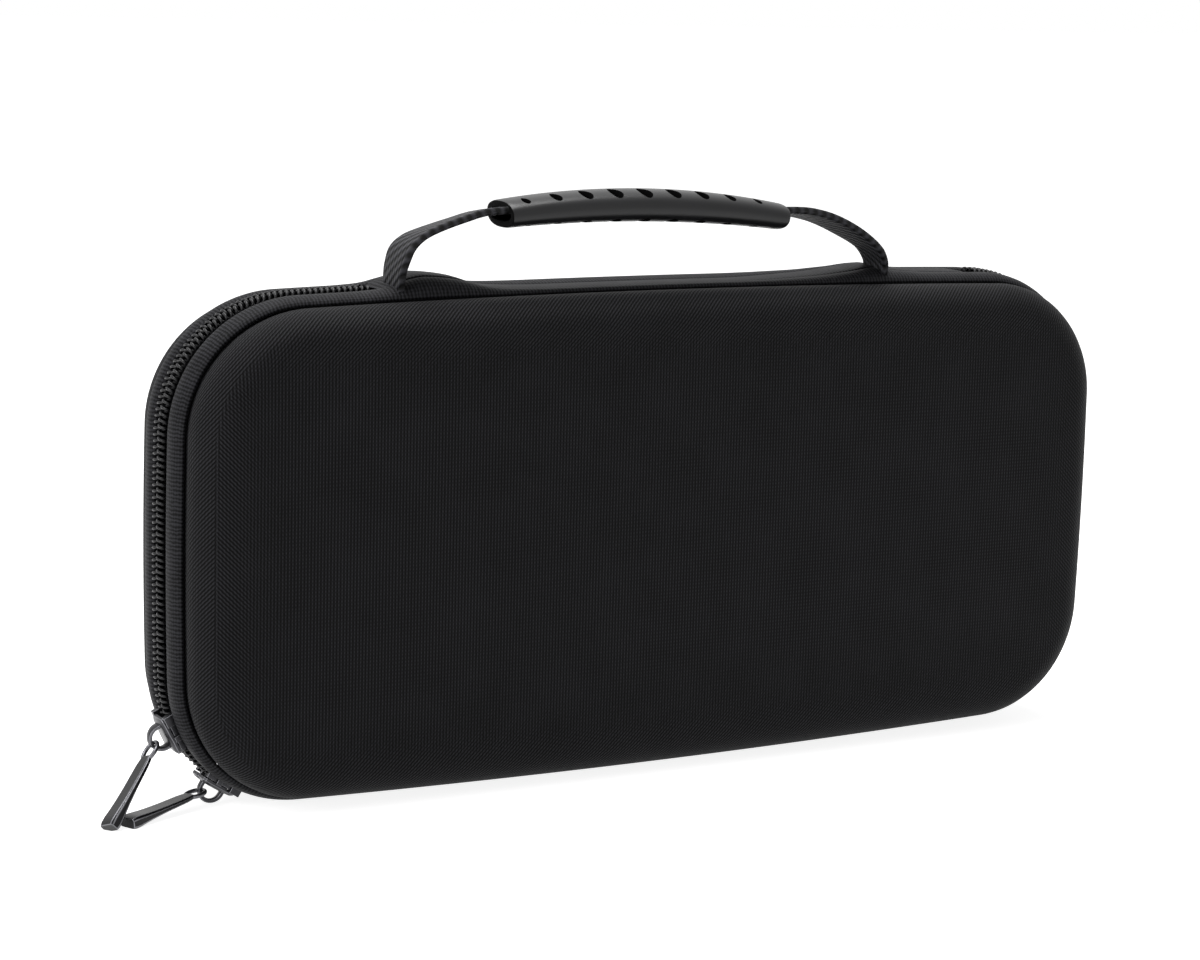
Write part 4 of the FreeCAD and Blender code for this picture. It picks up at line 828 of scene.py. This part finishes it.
# The pulls: zinc die castings that hang by an oval ring on the bail and lean to the front. Each bar is
# thin at the ring, thickens towards the tip and ends in a square, bevelled nose that rests on the table.
PULL_HANG = 3.7
RING_HALF_LENGTH, RING_HALF_WIDTH, RING_OFFSET = 2.75, 2.05, 0.75
RING_WIDE, RING_DEEP = 0.52, 0.56
RING_POINTS, RING_SIDES = 40, 10
PULL_STATIONS = ((2.3, 3.1, 1.05), (3.6, 3.9, 1.15), (5.2, 4.35, 1.25), (8.0, 4.45, 1.35),
                 (12.0, 4.5, 1.55), (16.0, 4.65, 1.95), (18.6, 4.85, 2.35), (20.6, 5.0, 2.8),
                 (22.2, 5.0, 2.9), (23.2, 4.8, 2.5))
PULL_SECTION = ((-0.5, -0.3), (-0.4, -0.5), (0.4, -0.5), (0.5, -0.3), (0.5, 0.3), (0.4, 0.5),
                (-0.4, 0.5), (-0.5, 0.3))

# Black gunmetal paint on zinc, thin enough that the metal's lights stay sharp. Fingers leave it shinier in
# patches of about 2 mm.
gunmetal, tree, shader = new_material("Gunmetal painted zinc", Metallic=0.7, Roughness=0.3)
patches = mottle(tree, shader, 2.0, "#0b0b0c", "#18181a")
rubbed = add_node(tree, "ShaderNodeMapRange", {"Value": patches, "To Min": 0.2, "To Max": 0.34})
tree.links.new(rubbed.outputs[0], shader.inputs["Roughness"])


def make_pull(name, angle, hangs, lean, body):
    """One pull, from the angle it hangs at and how far it leans to the front, in degrees."""
    arch = at_corner(angle, PLATE_TOP + BAIL_LEG, 0, 0)
    out = Vector((math.cos(math.radians(hangs)), 0, math.sin(math.radians(hangs))))
    leaning = Matrix.Rotation(-math.radians(lean), 3, out.cross(Vector((0, 1, 0))))
    bar, wide = leaning @ out, leaning @ Vector((0, 1, 0))
    thick = bar.cross(wide)
    eye = arch + out * BAIL_REACH + bar * (PULL_HANG - BAIL_REACH)
    mesh = bmesh.new()
    rings = []
    for number in range(RING_POINTS + 1):
        turn = 2 * math.pi * number / RING_POINTS
        cosine, sine = math.cos(turn), math.sin(turn)
        middle = Vector((cosine * RING_HALF_LENGTH + RING_OFFSET, sine * RING_HALF_WIDTH))
        normal = Vector((cosine / RING_HALF_LENGTH, sine / RING_HALF_WIDTH)).normalized()
        ring = []
        for around in round_turn(RING_SIDES):
            point = middle + normal * RING_WIDE * math.cos(around)
            ring.append(eye + bar * point.x + wide * point.y + thick * RING_DEEP * math.sin(around))
        rings.append(ring)
    add_loft(mesh, rings, close_ends=False)
    add_loft(mesh, [[eye + bar * along + wide * (u * width) + thick * (v * deep) for u, v in PULL_SECTION]
                    for along, width, deep in PULL_STATIONS])
    pull = finish_casting(name, mesh, 0.16, gunmetal)
    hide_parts(name)
    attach(pull, body)


make_pull("upper_pull_tab", UPPER_SLIDER_ANGLE, 226.07, 26.5, "upper_pull")
make_pull("lower_pull_tab", LOWER_SLIDER_ANGLE, 186.71, 23.5, "lower_pull")


# The inside, seen when the lid is open: linings glued to the shells, a moulded tray for the console, and a
# padded card panel with its pockets, a flat mesh pocket and their sewn tapes in the lid. Each piece
# follows its solid, with soft edges and a cloth of its own.
def inside_cloth(name, low, high, cell, depth, rough, pattern):
    """A dark inside cloth, with painted shade in its hollows and painted light on its high places. cell is
    the pattern's size in mm, depth how far it stands up in mm.
    """
    cloth, tree, shader = new_material(name, Roughness=rough, Specular_IOR_Level=0.08, Sheen_Weight=0.08,
                                       Sheen_Roughness=0.5)
    coords = add_node(tree, "ShaderNodeTexCoord").outputs["Object"]
    relief = add_node(tree, "ShaderNodeTexNoise", {"Vector": coords, "Scale": 1000 / cell, "Detail": 4.0})
    if pattern != "nap":
        axes = add_node(tree, "ShaderNodeSeparateXYZ", {0: coords})
        warp = threads(tree, axes.outputs["X"], cell * MM)
        weft = threads(tree, axes.outputs["Z"], cell * MM)
        crossed = math_node(tree, "MULTIPLY", warp, weft)
        relief = math_node(tree, "MULTIPLY_ADD", crossed, 0.4, relief)
        if pattern == "mesh":
            yarn = math_node(tree, "LESS_THAN", crossed, 0.35)
            tree.links.new(yarn.outputs[0], shader.inputs["Alpha"])
    paint_relief_light_and_shade(tree, shader, relief, relief, (0.3, low), (0.8, high), 0.6, depth)
    return cloth


# Tricot knitted from polyester and brushed to a short nap: soft and dull, with cloudy tufts of 1.1 mm.
tricot = inside_cloth("Brushed tricot lining", "#101011", "#29292b", 1.1, 0.2, 0.9, "nap")
# Foam pressed in a mould and flocked with nylon fibre: the dullest surface, with tufts of 0.7 mm.
flock = inside_cloth("Flocked moulded foam", "#0d0d0e", "#242426", 0.7, 0.15, 0.95, "nap")
# Nylon, plain woven over foam: slightly shiny crossings, painted lighter than the hollows. The real 0.5 mm
# threads are drawn at 0.9 mm.
panel_cloth = inside_cloth("Padded nylon panel", "#0e0e0f", "#262628", 0.9, 0.12, 0.7, "weave")
# A finer nylon weave, folded and sewn as pockets: smoother and darker. Its 0.4 mm is drawn at 0.7 mm.
pocket_cloth = inside_cloth("Nylon pocket cloth", "#0b0b0c", "#1f1f21", 0.7, 0.1, 0.6, "weave")
# Polyester yarn knitted with open holes 2.2 mm apart, which let the lining show through.
knitted_mesh = inside_cloth("Knitted polyester mesh", "#101011", "#2b2b2d", 2.2, 0.2, 0.7, "mesh")
# Polyester tape woven in a coarse plain weave of 0.8 mm: dull, with raised crossings.
edging_tape = inside_cloth("Woven edging tape", "#121213", "#2a2a2c", 0.8, 0.15, 0.7, "weave")

# Each row: solid, cloth, slot, body, how soft its edges are in mm, how it is held, and its flat size in m.
INSIDE = (
    ("front_lining", tricot, "lining", "front_half", 0.3, "laid", (0.150, 0.286)),
    ("back_lining", tricot, "lining", "back_half", 0.3, "laid", (0.150, 0.286)),
    ("console_tray", flock, "tray", "back_half", 0.6, None, None),
    ("card_panel", panel_cloth, "panel", "front_half", 0.7, "padded", None),
    ("panel_hinge_tape", edging_tape, "lining", "front_half", 0.1, "stretched", None),
    ("mesh_pocket", knitted_mesh, "mesh", "front_half", 0.05, "stretched", None),
    ("mesh_pocket_edging", edging_tape, "mesh", "front_half", 0.2, None, None),
    *((f"card_pocket_row_{number}", pocket_cloth, "card_pockets", "front_half", 0.15, "stretched", None)
      for number in (1, 2, 3)),
)
NARROWEST_FLAT = 0.0101
for name, cloth, finish_slot, body, softness, held, flat in INSIDE:
    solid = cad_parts[name]
    mesh = bmesh.new()
    mesh.from_mesh(solid.data)
    bmesh.ops.transform(mesh, matrix=solid.matrix_world, verts=mesh.verts)
    bmesh.ops.remove_doubles(mesh, verts=mesh.verts, dist=0.001 * MM)
    bmesh.ops.dissolve_limit(mesh, angle_limit=math.radians(2), verts=mesh.verts, edges=mesh.edges)
    piece = finish_mesh(name + "_cloth", mesh, cloth)
    round_edges(piece, softness, 3, 40)
    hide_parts(name)
    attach(piece, body)
    one_side = sum(polygon.area for polygon in piece.data.polygons) / 2
    spans = []
    for axis in (0, 2):
        places = [vert.co[axis] for vert in piece.data.vertices]
        spans.append(max(places) - min(places))
    width, length = sorted(spans)
    width = max(width, NARROWEST_FLAT)
    length = max(length, one_side / width)


# The studio: a pale painted floor, a broad softbox overhead, one at the left and a weak one in front.
# Floor and surroundings are seen as white, which puts no more light on the case.
FLOOR_HALF = 6
FLOOR_GLOW, WORLD_LIGHT = 0.86, 0.28
WHITE = (1, 1, 1, 1)


def seen_directly(tree):
    """1 for rays from the camera, a mirror or glass, and 0 for those that light the case."""
    rays = add_node(tree, "ShaderNodeLightPath")
    camera_ray, glossy_ray = rays.outputs["Is Camera Ray"], rays.outputs["Is Glossy Ray"]
    seen = math_node(tree, "MAXIMUM", camera_ray, glossy_ray)
    return math_node(tree, "MAXIMUM", seen, rays.outputs["Is Transmission Ray"])


mesh = bmesh.new()
mesh.faces.new([mesh.verts.new((x * FLOOR_HALF, y * FLOOR_HALF, 0))
                for x, y in ((-1, -1), (1, -1), (1, 1), (-1, 1))])
floor_paint, tree, shader = new_material("Pale studio floor", Roughness=0.9, Specular_IOR_Level=0.0)
shader.inputs["Base Color"].default_value = srgb("#dcdcdc")
shader.inputs["Emission Color"].default_value = WHITE
glow = math_node(tree, "MULTIPLY", seen_directly(tree), FLOOR_GLOW)
tree.links.new(glow.outputs[0], shader.inputs["Emission Strength"])
finish_mesh("studio_floor", mesh, floor_paint)

world = bpy.data.worlds.new("Pale studio")
bpy.context.scene.world = world
world.use_nodes = True
tree = world.node_tree
background = tree.nodes["Background"]
background.inputs["Color"].default_value = WHITE
strength = math_node(tree, "MULTIPLY_ADD", seen_directly(tree), 1 - WORLD_LIGHT, WORLD_LIGHT)
tree.links.new(strength.outputs[0], background.inputs["Strength"])


def softbox(name, place, target, size, power):
    """A rectangular lamp that looks at a point. Lengths are in metres, power in watts."""
    data = bpy.data.lights.new(name, "AREA")
    data.shape = "RECTANGLE"
    data.size, data.size_y = size
    data.energy = power
    lamp = bpy.data.objects.new(name, data)
    lamp.location = place
    lamp.rotation_euler = (Vector(target) - Vector(place)).to_track_quat("-Z", "Y").to_euler()
    bpy.context.collection.objects.link(lamp)


softbox("top softbox", (-0.1, 0.15, 1.1), (0, 0, 0.06), (1.0, 0.6), 14.0)
softbox("left softbox", (-1.1, -0.28, 0.45), (-0.1, 0, 0.06), (0.5, 0.8), 6.5)
softbox("front fill", (0.4, -1.4, 0.5), (0, 0, 0.06), (0.8, 0.8), 0.5)


# The camera stands at the photograph's viewing angle, worked out from the case's outline and seams.
# Its shift puts the middle of the case where the photograph has it. Distance is in metres.
IMAGE_WIDTH, IMAGE_HEIGHT = 1200, 960
AZIMUTH, ELEVATION, ROLL = math.radians(-30.232), math.radians(10.858), math.radians(1.78)
FOCAL_PIXELS = 2998.8
DISTANCE = 0.7708
CASE_MIDDLE_PIXEL = (642.0, 517.7)
target = Vector((0, 0, MIDDLE_Z * MM))
toward = Vector((math.sin(AZIMUTH) * math.cos(ELEVATION), -math.cos(AZIMUTH) * math.cos(ELEVATION),
                 math.sin(ELEVATION)))
camera_data = bpy.data.cameras.new("Photograph's camera")
camera_data.sensor_width = 36.0
camera_data.lens = FOCAL_PIXELS / IMAGE_WIDTH * camera_data.sensor_width
camera_data.shift_x = -(CASE_MIDDLE_PIXEL[0] - IMAGE_WIDTH / 2) / IMAGE_WIDTH
camera_data.shift_y = (CASE_MIDDLE_PIXEL[1] - IMAGE_HEIGHT / 2) / IMAGE_WIDTH
camera = bpy.data.objects.new("Photograph's camera", camera_data)
upright = (-toward).to_track_quat("-Z", "Y").to_matrix() @ Matrix.Rotation(ROLL, 3, "Z")
camera.matrix_world = Matrix.Translation(target + toward * DISTANCE) @ upright.to_4x4()
bpy.context.collection.objects.link(camera)
bpy.context.scene.camera = camera
bpy.context.scene.view_settings.view_transform = "Standard"
